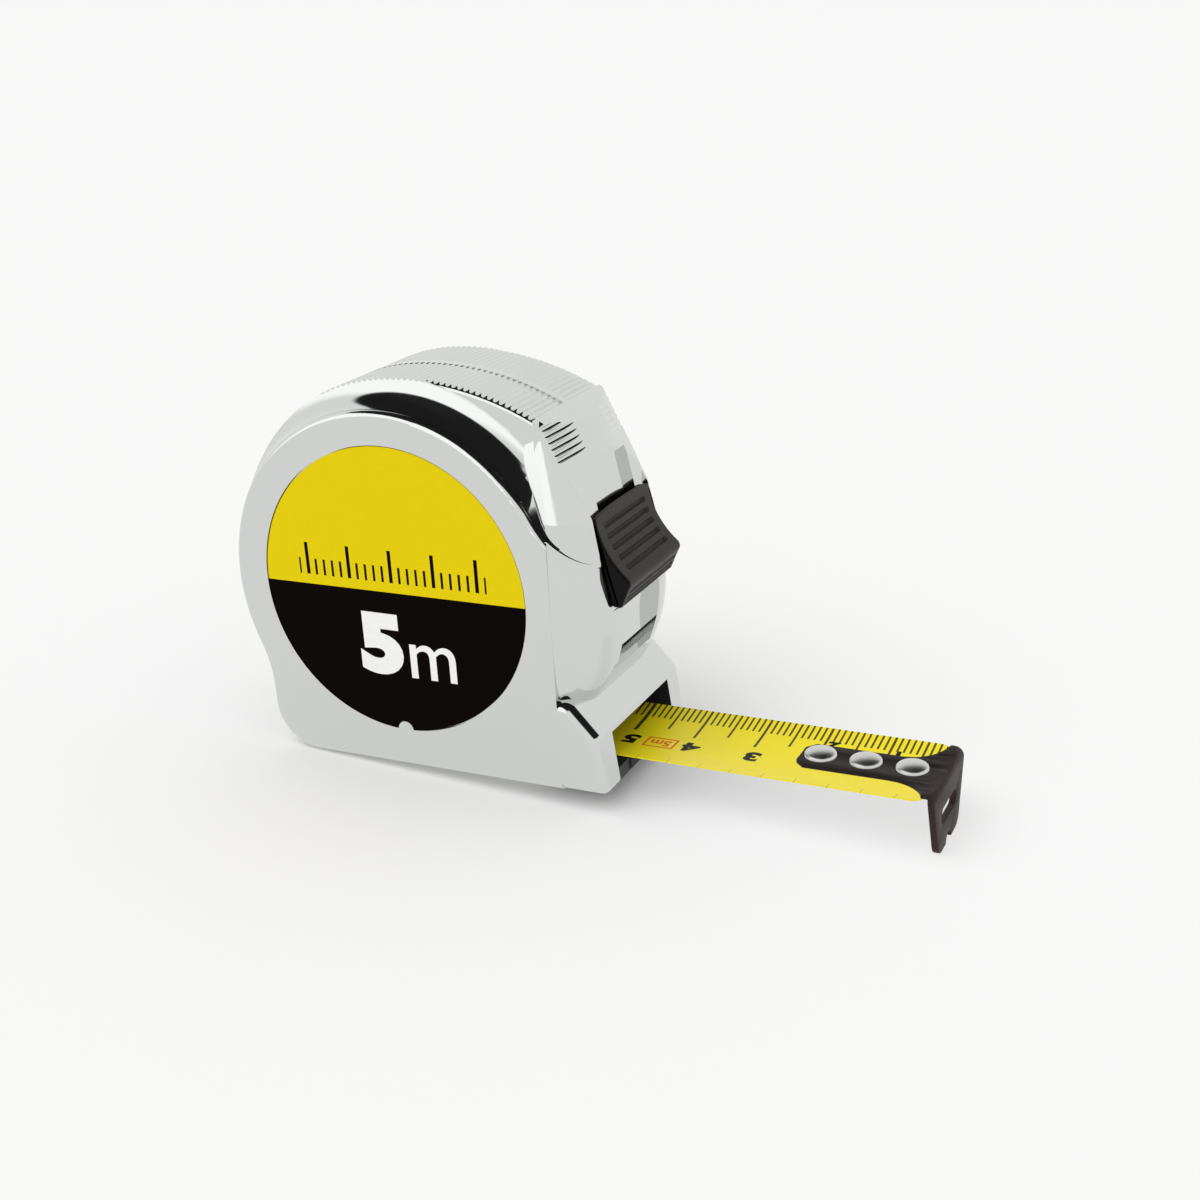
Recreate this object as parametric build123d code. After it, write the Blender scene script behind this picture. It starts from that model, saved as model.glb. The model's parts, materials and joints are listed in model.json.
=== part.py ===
"""Pocket tape measure with a ribbed chrome case, as one STEP file for each piece, in millimetres.

+X runs along the blade towards the hook, +Z is up, and -Y is the side whose label faces the viewer.
The origin lies on the base plane, below the reel axis, where the two case halves meet.
"""
import os
from math import asin, atan2, cos, degrees, radians, sin, sqrt

from build123d import *

OUT_DIR = "parts"

# allowances: pin in its hole, piece in its seat, cutter past the face it cuts, same place, past everything
FIT = 0.05
GAP = 0.1
PAST = 1.0
NEAR = 0.2
FAR = 90.0

# reel axis and main case widths
AXIS = (0.0, 29.2)
CASE_HALF = 15.6
BAND_HALF = 11.0
WALL = 2.0

# side panel: a round cheek that flares out at the front and stands on a foot at the rear
CHEEK_C = (-0.4, 29.0)
CHEEK_R = 28.4
FLARE_FROM_DEG = 31.0
FLARE_R = 24.2
FLARE_CUT_DEG = 223.0
FLARE_END_DEG = 237.4
REAR_FOOT_X = -24.9
REAR_WAIST_R = 20.0
REAR_CORNER_R = 7.5
RIM_R = 1.0

# ribbed band over the top
TOP_C = (2.5, 13.9)
TOP_R = 47.5
CREST_DEG = 62.36
JOIN_DEG = 95.43
BACK_R = 29.0
BACK_END_DEG = 175.0
KNEE = (31.8, 41.7)
BAND_LOW = (33.4, 31.7)
BAND_INSIDE = ((26.0, 22.0), (-18.0, 22.0))
BULGE_CREST_DEG = 58.4
BULGE_KNEE = (33.6, 41.7)
BULGE_LOW = (35.5, 31.7)
BULGE_BACK_X = 8.0
BAND_EDGE_R = 0.9
LOW_EDGE_R = 4.5
SCOOP_WIDTH = 4.4
SCOOP_RISE = 3.4
SCOOP_SHARE = 0.36
SCOOP_BACK_Z = 33.0
SCOOP_FRONT_X = 28.5
SCOOP_FRONT_Z = 35.2
SHOULDER_BACK_X = 12.0
# Level sections of the front shoulders: height, front x, corner (x, y), half width at the back, corner radius
SHOULDERS = (
    (54.3, 27.3, (25.2, 10.9), 9.6, 1.2),
    (41.7, 33.6, (30.0, 14.3), 12.1, 5.0),
    (34.7, 34.9, (30.0, 15.55), 13.5, 8.0),
    (29.0, 33.6, (29.0, 15.4), 14.5, 8.0),
)

# nose behind the thumb lock, and the foot around the mouth
NOSE_TOP = (33.28, 34.7)
NOSE_BELLY = (34.6, 27.0)
NOSE_MID = (33.5, 19.6)
NOSE_LOW = (29.8, 12.4)
NOSE_BELLY_ROUND = 8.0
NOSE_EDGE_R = 8.0
FOOT_BACK_X = 20.0
FOOT_TOP_Z = 14.4
FOOT_CREST = (28.6, 14.4)
FOOT_BROW = (33.3, 9.3)
FOOT_TOE = (34.5, 0.0)
FOOT_CREST_R = 2.0
FOOT_BROW_R = 0.9
FOOT_TOE_R = 1.0
FOOT_EDGE_R = 1.6

# ribs
RIB_PITCH = 1.0
RIB_FIRST_DEG = 115.0
RIB_FRONT_COUNT = 6
RIB_FADE_Y = 9.0
RIB_CUT_R = 0.45
RIB_CUT_LIFT = 0.15
RIB_LAND = 0.7

# thumb-lock channel and seat
CHANNEL_HALF = 6.5
CHANNEL_DEPTH = 1.3
CHANNEL_TOP_DEPTH = 1.2
CHANNEL_TOP_Z = 48.4
CHANNEL_LOW_Z = 17.0
CHANNEL_RUNOUT = 1.0
SEAT_HALF = 9.95
SEAT_GAP = 0.12
SEAT_DROP = 0.6
LOCK_SLOT_HALF = 3.25
LOCK_SLOT_X = 28.0
LOCK_SLOT_Z = (29.6, 40.4)

# inside of the case
CAVITY_HALF = 13.0
BAND_CAVITY_HALF = 8.8
NOSE_CAVITY_HALF = 10.3
NOSE_WALL = 2.2
MOUTH_HALF = 10.46
MOUTH_TOP_Z = 8.46
MOUTH_BACK_X = 22.2
MOUTH_DEEP_X = 30.0
PASSAGE_FRONT_X = 28.5
PASSAGE_Z = (8.0, 16.0)
POST_R = 3.0
HUB_R = 5.0
HUB_FACE = 11.3
POST_HALF = 12.6

# labels
LABEL_R = 22.85
LABEL_T = 0.5
RECESS_DEPTH = 0.6
RECESS_R = 23.0
PEG_R = 1.35

# screws
SCREWS_PANEL = ((-20.6, 9.4), (20.4, 9.6))
SCREW_BAND = (21.2, 50.6)
SCREW_BOSS_R = 2.8
SCREW_SHANK_R = 1.0
SCREW_HEAD_R = 1.9
SCREW_HEAD_T = 1.1
SCREW_SINK = 1.5
SCREW_TIP_Y = -8.0
SCREW_CROSS = (0.5, 2.2, 0.7)

# blade
BLADE_HALF = 9.5
BLADE_T = 0.2
BLADE_EDGE_Z = 4.4
BLADE_CUP = 0.9
BLADE_X = (26.4, 80.4)
BLADE_CORNER_R = 2.0
RUN_X = (1.0, 26.2)
RIVETS_X = (62.7, 69.7, 76.7)
RIVET_R = 1.4
RIVET_HEAD_R = 2.4
RIVET_HEAD_T = 1.1
RIVET_FOOT_R = 2.0
RIVET_SEAT_GAP = 0.12
RIVET_FOOT_T = 0.4

# end hook
HOOK_INNER_X = 81.2
HOOK_T = 1.0
HOOK_STRAP_T = 0.7
HOOK_STRAP_Z = 3.58
HOOK_STRAP_X = 59.6
HOOK_STRAP_HALF = 3.6
HOOK_STRAP_CLIP = 1.4
HOOK_FLARE = ((74.0, 3.6), (78.1, 5.1), (80.2, 8.6))
HOOK_TOP_HALF = 8.6
HOOK_SHOULDER_Z = 3.6
HOOK_LOW_HALF = 5.5
HOOK_TIP_Z = -6.3
HOOK_TIP_R = 2.4
HOOK_PLAY = 1.0
HOOK_NAIL = (4.2, 1.3, -0.8)
HOOK_NOTCH_R = 1.4
HOOK_ROOF_Z = 6.0
HOOK_BEND_R = 1.5
HOOK_CORNER_Z = 4.9

# mouth insert and bumper
INSERT_TOP_Z = 2.4
INSERT_FRONT_X = 33.9
BUMPER_HALF = 6.0
BUMPER_Z = (0.5, 2.0)
BUMPER_X = (32.0, 34.2)

# reel, winding and power spring
REEL_IN_R = 17.8
REEL_OUT_R = 19.0
REEL_HALF = 9.6
FLANGE_R = 24.4
FLANGE_T = 1.0
REEL_BORE_R = 3.05
ANCHOR_SHANK_R = 0.9
ANCHOR_HEAD_R = 1.5
ANCHOR_HEAD_T = 0.3
WOUND_R = (19.5, 23.7)
WOUND_TURNS = 7
WOUND_T = 0.3
WOUND_HALF = 9.5
SPRING_R = (3.6, 16.8)
SPRING_TURNS = 13
SPRING_T = 0.3
SPRING_HALF = 8.0
SPRING_TAB_X = 1.0
POST_SLOT = 0.8
POST_SLOT_HALF = 8.6

# thumb lock
LOCK_HALF = 9.7
LOCK_BACK_LOW = (34.2, 28.3)
LOCK_BACK_TOP = (31.4, 42.0)
LOCK_CREST = (32.1, 42.2)
LOCK_HOLLOW = (33.75, 36.7)
LOCK_LIP_TOP = (36.8, 32.9)
LOCK_LIP = (37.2, 32.1)
LOCK_LIP_LOW = (36.9, 31.3)
LOCK_FRONT_LOW = (35.5, 28.2)
LOCK_CLIP_Y = 4.6
LOCK_CLIP_Z = 41.2
LOCK_GROOVES = 5
LOCK_GROOVE_R = 0.55
LOCK_GROOVE_HALF = 7.4
NECK_HALF = 3.0
NECK_Z = (30.0, 34.0)
ARM_X = (26.4, 28.2)
ARM_HALF = 5.5
SHOE_X = (24.8, 29.0)
SHOE_Z = (4.9, 7.4, 9.4)
SHOE_PAD_Y = (5.0, 9.0)

# belt clip
CLIP_T = 0.8
CLIP_HALF = 8.0
CLIP_LEG_Y = 16.1
CLIP_TONGUE_Y = 21.5
CLIP_TOP_Z = 48.0
CLIP_LEG_LOW_Z = 31.0
CLIP_BEND_Z = 36.0
CLIP_TOUCH = (17.2, 18.0)
CLIP_TIP = (19.4, 13.0)
CLIP_SCREW_Z = 36.0
CLIP_SCREW_R = 1.5
CLIP_HEAD_R = 2.6
CLIP_HEAD_T = 1.2
CLIP_SCREW_TIP_Y = 13.4
CLIP_ACCESS_R = 3.0
CLIP_BOSS_R = 3.6
CLIP_BOSS_Y = 11.6


def polar(centre, radius, degrees):
    """Point (x, z) at an angle round a centre, measured from +X towards +Z."""
    return (centre[0] + radius * cos(radians(degrees)), centre[1] + radius * sin(radians(degrees)))


def arc(centre, radius, start, end):
    """Circular arc in the side view between two angles."""
    middle = (start + end) / 2
    return ThreePointArc(
        polar(centre, radius, start), polar(centre, radius, middle), polar(centre, radius, end)
    )


def path(*points):
    """Straight edges through the points in turn."""
    return [Line(a, b) for a, b in zip(points, points[1:])]


def prism(face, half):
    """Side-view face made solid to the same depth on both sides of the middle plane."""
    return extrude(Plane.XZ * face, amount=half, both=True)


def block(x, y, z):
    """Box from three (low, high) pairs."""
    size = [pair[1] - pair[0] for pair in (x, y, z)]
    middle = [(pair[0] + pair[1]) / 2 for pair in (x, y, z)]
    return Pos(*middle) * Box(*size)


def rod_y(x, z, radius, y_low, y_high):
    """Cylinder along Y."""
    return Pos(x, (y_low + y_high) / 2, z) * Rot(90, 0, 0) * Cylinder(radius, y_high - y_low)


def rod_z(x, y, radius, z_low, z_high):
    """Cylinder along Z."""
    return Pos(x, y, (z_low + z_high) / 2) * Cylinder(radius, z_high - z_low)


def rim_edges(solid, depth):
    """Edges of a prism that lie in its two outer faces."""
    return [e for e in solid.edges() if abs(abs(e.center().Y) - depth) < 1e-4]


def flare_centre():
    """Centre of the concave arc that carries the cheek's edge out to the nose."""
    return polar(CHEEK_C, CHEEK_R + FLARE_R, FLARE_FROM_DEG)


def cheek_face():
    """Outline of the round side panel with its rear waist and foot."""
    waist_x = REAR_FOOT_X - REAR_WAIST_R
    waist_drop = sqrt((CHEEK_R + REAR_WAIST_R) ** 2 - (waist_x - CHEEK_C[0]) ** 2)
    waist = (waist_x, CHEEK_C[1] - waist_drop)
    meet = degrees(atan2(waist_drop, CHEEK_C[0] - waist_x))
    corner = (REAR_FOOT_X + REAR_CORNER_R, REAR_CORNER_R)
    cut = polar(flare_centre(), FLARE_R, FLARE_CUT_DEG)
    edges = path((corner[0], 0), (cut[0], 0), cut)
    edges += [
        arc(flare_centre(), FLARE_R, FLARE_CUT_DEG, 180 + FLARE_FROM_DEG),
        arc(CHEEK_C, CHEEK_R, FLARE_FROM_DEG, 180 + meet),
        arc(waist, REAR_WAIST_R, meet, 0),
        Line((REAR_FOOT_X, waist[1]), (REAR_FOOT_X, REAR_CORNER_R)),
        arc(corner, REAR_CORNER_R, 180, 270),
    ]
    return make_face(edges)


def band_face(crest_deg=CREST_DEG, knee=KNEE, low=BAND_LOW):
    """Outline of the grip band, closed inside the cheek; as it is at the flanks unless told otherwise."""
    back_c = polar(TOP_C, TOP_R - BACK_R, JOIN_DEG)
    end = polar(back_c, BACK_R, BACK_END_DEG)
    edges = [
        arc(back_c, BACK_R, BACK_END_DEG, JOIN_DEG),
        arc(TOP_C, TOP_R, JOIN_DEG, crest_deg),
    ]
    edges += path(polar(TOP_C, TOP_R, crest_deg), knee, low, *BAND_INSIDE, end)
    return make_face(edges)


def bulges():
    """Round stretches of the band's front: (axis point, direction, radius, edge radius) in the side view."""
    crest = Vector(*polar(TOP_C, TOP_R, BULGE_CREST_DEG))
    knee = Vector(*BULGE_KNEE)
    stretches = []
    for start, end, edge_r in ((crest, knee, BAND_EDGE_R), (knee, Vector(*BULGE_LOW), LOW_EDGE_R)):
        along = (end - start).normalized()
        out = Vector(-along.Y, along.X)
        rise = abs((knee - Vector(*KNEE)).dot(out))
        radius = (BAND_HALF ** 2 + rise ** 2) / (2 * rise)
        stretches.append((knee - out * radius, along, radius, edge_r))
    return stretches


def band_body():
    """Grip band: flat across the top, bulging in the middle of its front."""
    band = prism(band_face(BULGE_CREST_DEG, BULGE_KNEE, BULGE_LOW), BAND_HALF)
    band = fillet([e for e in rim_edges(band, BAND_HALF) if e.geom_type == GeomType.CIRCLE], BAND_EDGE_R)
    front = band & block((BULGE_BACK_X, FAR), (-FAR, FAR), (-FAR, FAR))
    for at, along, radius, edge_r in bulges():
        section = Circle(radius) & Rectangle(2 * BAND_HALF, 2 * radius)
        section = fillet([v for v in section.vertices() if v.Y > 0], edge_r)
        plane = Plane((at.X, 0, at.Y), x_dir=(0, 1, 0), z_dir=(along.X, 0, along.Y))
        front &= extrude(plane * section, amount=FAR, both=True)
    return front + (band & block((-FAR, BULGE_BACK_X), (-FAR, FAR), (-FAR, FAR)))


def nearest(face, point):
    """Vertex of a face that lies closest to a point."""
    return min(face.vertices(), key=lambda v: (v.X - point[0]) ** 2 + (v.Y - point[1]) ** 2)


def nose_face():
    """Outline of the full-width nose between the scoops and the foot."""
    end = polar(flare_centre(), FLARE_R, FLARE_END_DEG)
    cut = polar(flare_centre(), FLARE_R, FLARE_CUT_DEG)
    edges = [arc(flare_centre(), FLARE_R, FLARE_CUT_DEG, FLARE_END_DEG)]
    edges += path(end, NOSE_TOP, NOSE_BELLY)
    edges.append(ThreePointArc(NOSE_BELLY, NOSE_MID, NOSE_LOW))
    edges += path(NOSE_LOW, (FOOT_BACK_X, NOSE_LOW[1]), (FOOT_BACK_X, cut[1]), cut)
    face = make_face(edges)
    return fillet(nearest(face, NOSE_BELLY), NOSE_BELLY_ROUND)


def foot_face():
    """Outline of the foot that holds the mouth: its top slopes down to a brow above the mouth."""
    corners = [(FOOT_BACK_X, 0), FOOT_TOE, FOOT_BROW, FOOT_CREST, (FOOT_BACK_X, FOOT_TOP_Z)]
    face = make_face(path(*corners, corners[0]))
    face = fillet(nearest(face, FOOT_TOE), FOOT_TOE_R)
    face = fillet(nearest(face, FOOT_BROW), FOOT_BROW_R)
    return fillet(nearest(face, FOOT_CREST), FOOT_CREST_R)


def scoop_fillet(centre, wall_r, tip_r, side):
    """Ring with a hollow face that eases the inner corner between a cheek wall and the band's flank."""
    flank = side * BAND_HALF
    foot = side * (BAND_HALF + SCOOP_RISE)
    inside_r = wall_r - (tip_r - wall_r) / 2
    inside_y = side * (BAND_HALF - SCOOP_RISE / 2)
    middle = (wall_r + (tip_r - wall_r) * SCOOP_SHARE, flank + side * SCOOP_RISE * SCOOP_SHARE)
    edges = path((tip_r, flank), (tip_r, inside_y), (inside_r, inside_y), (inside_r, foot), (wall_r, foot))
    edges.append(ThreePointArc((wall_r, foot), middle, (tip_r, flank)))
    ring = revolve(make_face(edges), Axis.Y)
    return Pos(centre[0], 0, centre[1]) * ring


def shoulders():
    """Front under the crest, with flanks that run out from the width of the band to that of the nose."""
    sections = []
    for z, front_x, (corner_x, corner_y), back_y, corner_r in SHOULDERS:
        corners = ((corner_x, -corner_y), (corner_x, corner_y))
        sides = path(corners[1], (SHOULDER_BACK_X, back_y), (SHOULDER_BACK_X, -back_y), corners[0])
        section = make_face([ThreePointArc(corners[0], (front_x, 0), corners[1]), *sides])
        for corner in corners:
            section = fillet(nearest(section, corner), corner_r)
        sections.append(Pos(0, 0, z) * section)
    return loft(sections, ruled=True)


def outer_body():
    """Whole outside of the case before it is hollowed."""
    front_x = polar(flare_centre(), FLARE_R, FLARE_CUT_DEG)[0]
    cheek = prism(cheek_face(), CASE_HALF)
    rims = [e for e in rim_edges(cheek, CASE_HALF) if abs(e.center().X - front_x) > NEAR]
    cheek = fillet(rims, RIM_R)
    band = band_body()
    nose = prism(nose_face(), CASE_HALF)
    fronts = [e for e in rim_edges(nose, CASE_HALF) if e.center().X > NOSE_LOW[0]]
    nose = fillet([e for e in fronts if e.center().Z < NOSE_TOP[1]], NOSE_EDGE_R)
    foot = prism(foot_face(), CASE_HALF)
    foot = fillet([e for e in rim_edges(foot, CASE_HALF) if e.center().X > FOOT_BACK_X + NEAR], FOOT_EDGE_R)
    body = cheek + nose + foot + band + shoulders()
    reach = prism(band_face(), CASE_HALF)
    turn_x = polar(CHEEK_C, CHEEK_R, FLARE_FROM_DEG)[0]
    above = block((-FAR, turn_x), (-FAR, FAR), (SCOOP_BACK_Z, FAR))
    ahead = block((turn_x, SCOOP_FRONT_X), (-FAR, FAR), (SCOOP_FRONT_Z, FAR))
    for side in (-1, 1):
        ring = scoop_fillet(CHEEK_C, CHEEK_R, CHEEK_R + SCOOP_WIDTH, side)
        body += ring & reach & above
        ring = scoop_fillet(flare_centre(), FLARE_R, FLARE_R - SCOOP_WIDTH, side)
        body += ring & reach & ahead
    return body


def rib_cutters(side):
    """Round-bottomed cutters for the ribs of one half: across the top, then fading out down the front."""
    back_c = polar(TOP_C, TOP_R - BACK_R, JOIN_DEG)
    top = Wire([arc(back_c, BACK_R, RIB_FIRST_DEG, JOIN_DEG), arc(TOP_C, TOP_R, JOIN_DEG, CREST_DEG)])
    low, high = sorted((side * RIB_LAND, side * (BAND_HALF + PAST)))
    cutters = []
    for i in range(int(top.length / RIB_PITCH)):
        share = i * RIB_PITCH / top.length
        at = top.position_at(share)
        along = top.tangent_at(share)
        spot = at + Vector(-along.Y, along.X) * RIB_CUT_LIFT
        cutters.append(rod_y(spot.X, spot.Y, RIB_CUT_R, low, high))
    axis, along, radius, _ = bulges()[0]
    start = Vector(*polar(TOP_C, TOP_R, CREST_DEG)) - Vector(*KNEE)
    lean = asin(RIB_FADE_Y / radius)
    out = Vector(-along.Y, 0, along.X)
    across = Vector(0, side, 0)
    for i in range(RIB_FRONT_COUNT):
        down = Vector(along.X, 0, along.Y) * (RIB_PITCH * (i + 0.5) - start.length)
        spot = Vector(axis.X, 0, axis.Y) + down
        spot += (out * cos(lean) + across * sin(lean)) * (radius + RIB_CUT_LIFT)
        plane = Plane(spot, z_dir=across * cos(lean) - out * sin(lean))
        cutters.append(plane * Cylinder(RIB_CUT_R, 2 * (RIB_FADE_Y - RIB_LAND)))
    return cutters


def lock_line_x(z, shift=0.0):
    """X on the line that the back of the thumb lock slides along."""
    share = (z - LOCK_BACK_LOW[1]) / (LOCK_BACK_TOP[1] - LOCK_BACK_LOW[1])
    return LOCK_BACK_LOW[0] + share * (LOCK_BACK_TOP[0] - LOCK_BACK_LOW[0]) + shift


def front_cuts():
    """Channel, button seat and neck slot in the front of the case."""
    floor = [
        (lock_line_x(CHANNEL_TOP_Z, -CHANNEL_TOP_DEPTH), CHANNEL_TOP_Z),
        (lock_line_x(BULGE_KNEE[1], -CHANNEL_TOP_DEPTH), BULGE_KNEE[1]),
        (NOSE_BELLY[0] - CHANNEL_DEPTH, NOSE_BELLY[1]),
        (NOSE_MID[0] - CHANNEL_DEPTH, NOSE_MID[1]),
        (NOSE_MID[0] - CHANNEL_DEPTH - CHANNEL_RUNOUT, CHANNEL_LOW_Z),
    ]
    outside = [(FAR, CHANNEL_LOW_Z), (FAR, CHANNEL_TOP_Z + PAST), floor[0]]
    channel = prism(make_face(path(*floor, *outside)), CHANNEL_HALF)
    low, high = LOCK_BACK_LOW[1] - SEAT_DROP, CHANNEL_TOP_Z + PAST
    seat_line = [(lock_line_x(low, -SEAT_GAP), low), (lock_line_x(high, -SEAT_GAP), high)]
    seat = prism(make_face(path(*seat_line, (FAR, high), (FAR, low), seat_line[0])), SEAT_HALF)
    slot = block((LOCK_SLOT_X, FAR), (-LOCK_SLOT_HALF, LOCK_SLOT_HALF), LOCK_SLOT_Z)
    return [channel, seat, slot]


def cavity():
    """Room for the reel, the lock and the blade."""
    room = prism(offset(cheek_face(), -WALL), CAVITY_HALF)
    room += prism(offset(band_face(), -NOSE_WALL), BAND_CAVITY_HALF)
    room += prism(offset(nose_face(), -NOSE_WALL), NOSE_CAVITY_HALF)
    room += prism(offset(foot_face(), -WALL), MOUTH_HALF)
    room += block((FOOT_BACK_X, PASSAGE_FRONT_X), (-NOSE_CAVITY_HALF, NOSE_CAVITY_HALF), PASSAGE_Z)
    room += block((MOUTH_BACK_X, FAR), (-MOUTH_HALF, MOUTH_HALF), (-PAST, INSERT_TOP_Z))
    room += block((MOUTH_DEEP_X, FAR), (-MOUTH_HALF, MOUTH_HALF), (-PAST, MOUTH_TOP_Z))
    return room


def screw_places():
    """Each case screw as (x, z, depth of the face it enters)."""
    places = [(x, z, CASE_HALF) for x, z in SCREWS_PANEL]
    places.append((SCREW_BAND[0], SCREW_BAND[1], BAND_HALF))
    return places


def case_halves():
    """Near and far halves of the case."""
    body = outer_body()
    room = cavity()
    for side in (-1, 1):
        inner, outer = sorted((side * HUB_FACE, side * (CAVITY_HALF + PAST)))
        room -= rod_y(*AXIS, HUB_R, inner, outer)
    for x, z, face in screw_places():
        room -= rod_y(x, z, SCREW_BOSS_R, -face + PAST, face - PAST)
    room -= rod_y(AXIS[0], CLIP_SCREW_Z, CLIP_BOSS_R, CLIP_BOSS_Y, CAVITY_HALF + PAST)
    body -= room
    for cut in front_cuts():
        body -= cut
    cuts = [rod_y(*AXIS, POST_R, -POST_HALF, POST_HALF)]
    for x, z, face in screw_places():
        cuts.append(rod_y(x, z, SCREW_SHANK_R + FIT, SCREW_TIP_Y - PAST, face))
        cuts.append(rod_y(x, z, SCREW_HEAD_R + GAP, face - SCREW_SINK, CASE_HALF + PAST))
    cuts.append(rod_y(AXIS[0], CLIP_SCREW_Z, CLIP_SCREW_R + FIT, CLIP_SCREW_TIP_Y - NEAR, CASE_HALF))
    for side in (-1, 1):
        low, high = sorted((side * (CASE_HALF - RECESS_DEPTH), side * (CASE_HALF + PAST)))
        recess = rod_y(*AXIS, RECESS_R, low, high)
        cuts.append(recess - rod_y(AXIS[0], AXIS[1] - RECESS_R, PEG_R, low, high))
    for cut in cuts:
        body -= cut
    halves = []
    for side in (-1, 1):
        keep = block((-FAR, FAR), sorted((0, side * FAR)), (-FAR, FAR))
        half = body & keep
        for cutter in rib_cutters(side):
            half -= cutter
        halves.append(half)
    return halves


def label(side):
    """Round label with a notch for the locating peg."""
    low, high = sorted((side * (CASE_HALF - RECESS_DEPTH), side * (CASE_HALF - RECESS_DEPTH + LABEL_T)))
    disc = rod_y(*AXIS, LABEL_R, low, high)
    disc -= rod_y(AXIS[0], AXIS[1] - RECESS_R, PEG_R + GAP, low - PAST, high + PAST)
    if side > 0:
        disc -= rod_y(AXIS[0], CLIP_SCREW_Z, CLIP_SCREW_R + GAP, low - PAST, high + PAST)
    return disc


def screw(x, z, face):
    """Pan-head screw with a cross recess, its head sunk into the far face."""
    seat = face - SCREW_SINK
    body = rod_y(x, z, SCREW_SHANK_R, SCREW_TIP_Y, seat)
    body += rod_y(x, z, SCREW_HEAD_R, seat, seat + SCREW_HEAD_T)
    width, length, depth = SCREW_CROSS
    top = (seat + SCREW_HEAD_T - depth, seat + SCREW_HEAD_T + PAST)
    body -= block((x - length / 2, x + length / 2), top, (z - width / 2, z + width / 2))
    body -= block((x - width / 2, x + width / 2), top, (z - length / 2, z + length / 2))
    return body


def case_screws():
    """The three screws that close the case."""
    return Compound(children=[screw(*place) for place in screw_places()])


def centre_post():
    """Fixed post that the reel turns on, slotted for the inner end of the spring."""
    post = rod_y(*AXIS, POST_R, -POST_HALF, POST_HALF)
    slot = block((0, POST_R + PAST), (-POST_SLOT_HALF, POST_SLOT_HALF), (-POST_SLOT / 2, POST_SLOT / 2))
    return post - Pos(AXIS[0], 0, AXIS[1]) * slot


def mouth_insert():
    """Black block that closes the bottom of the mouth, with a pocket for the bumper."""
    half = MOUTH_HALF - GAP
    body = block((MOUTH_BACK_X + GAP, INSERT_FRONT_X), (-half, half), (GAP, INSERT_TOP_Z - GAP))
    pocket = block((BUMPER_X[0], FAR), (-BUMPER_HALF, BUMPER_HALF), BUMPER_Z)
    return body - pocket


def hook_bumper():
    """Rubber strip that the hook lands on."""
    return block(BUMPER_X, (-BUMPER_HALF, BUMPER_HALF), BUMPER_Z)


def cup_radius():
    """Radius of the blade's cupped cross-section."""
    return (BLADE_HALF ** 2 + BLADE_CUP ** 2) / (2 * BLADE_CUP)


def cupped_section(half, top_z, thickness):
    """Cross-section of a cupped strip, given the height of its top at the middle."""
    rise = cup_radius() - sqrt(cup_radius() ** 2 - half ** 2)
    low_z = top_z - thickness
    edges = [
        ThreePointArc((-half, top_z + rise), (0, top_z), (half, top_z + rise)),
        Line((half, top_z + rise), (half, low_z + rise)),
        ThreePointArc((half, low_z + rise), (0, low_z), (-half, low_z + rise)),
        Line((-half, low_z + rise), (-half, top_z + rise)),
    ]
    return make_face(edges)


def blade_strip(x_low, x_high):
    """Straight length of blade."""
    section = cupped_section(BLADE_HALF, BLADE_EDGE_Z - BLADE_CUP, BLADE_T)
    return extrude(Plane.YZ.offset(x_low) * section, amount=x_high - x_low)


def blade():
    """Front end of the blade, with its rivet holes and rounded outer corners."""
    start, end = BLADE_X
    outline = [(start, -BLADE_HALF), (end, -BLADE_HALF), (end, BLADE_HALF), (start, BLADE_HALF)]
    plan = make_face(path(*outline, outline[0]))
    for corner in outline[1:3]:
        plan = fillet(nearest(plan, corner), BLADE_CORNER_R)
    strip = blade_strip(start, end) & extrude(plan, amount=BLADE_EDGE_Z + PAST)
    for x in RIVETS_X:
        strip -= rod_z(x, 0, RIVET_R + FIT, 0, BLADE_EDGE_Z)
    return strip


def blade_run():
    """Length of blade between the winding and the mouth."""
    return blade_strip(*RUN_X)


def hook_rivets():
    """Domed rivets that hold the hook."""
    rivets = []
    seat = HOOK_STRAP_Z + HOOK_STRAP_T + RIVET_SEAT_GAP
    under = BLADE_EDGE_Z - BLADE_CUP - BLADE_T - FIT
    dome_r = (RIVET_HEAD_R ** 2 + RIVET_HEAD_T ** 2) / (2 * RIVET_HEAD_T)
    for x in RIVETS_X:
        dome = Pos(x, 0, seat + RIVET_HEAD_T - dome_r) * Sphere(dome_r)
        head = dome & rod_z(x, 0, RIVET_HEAD_R + PAST, seat, FAR)
        shank = rod_z(x, 0, RIVET_R, under - RIVET_FOOT_T, seat)
        foot = rod_z(x, 0, RIVET_FOOT_R, under - RIVET_FOOT_T, under)
        rivets.append(head + shank + foot)
    return Compound(children=rivets)


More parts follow.
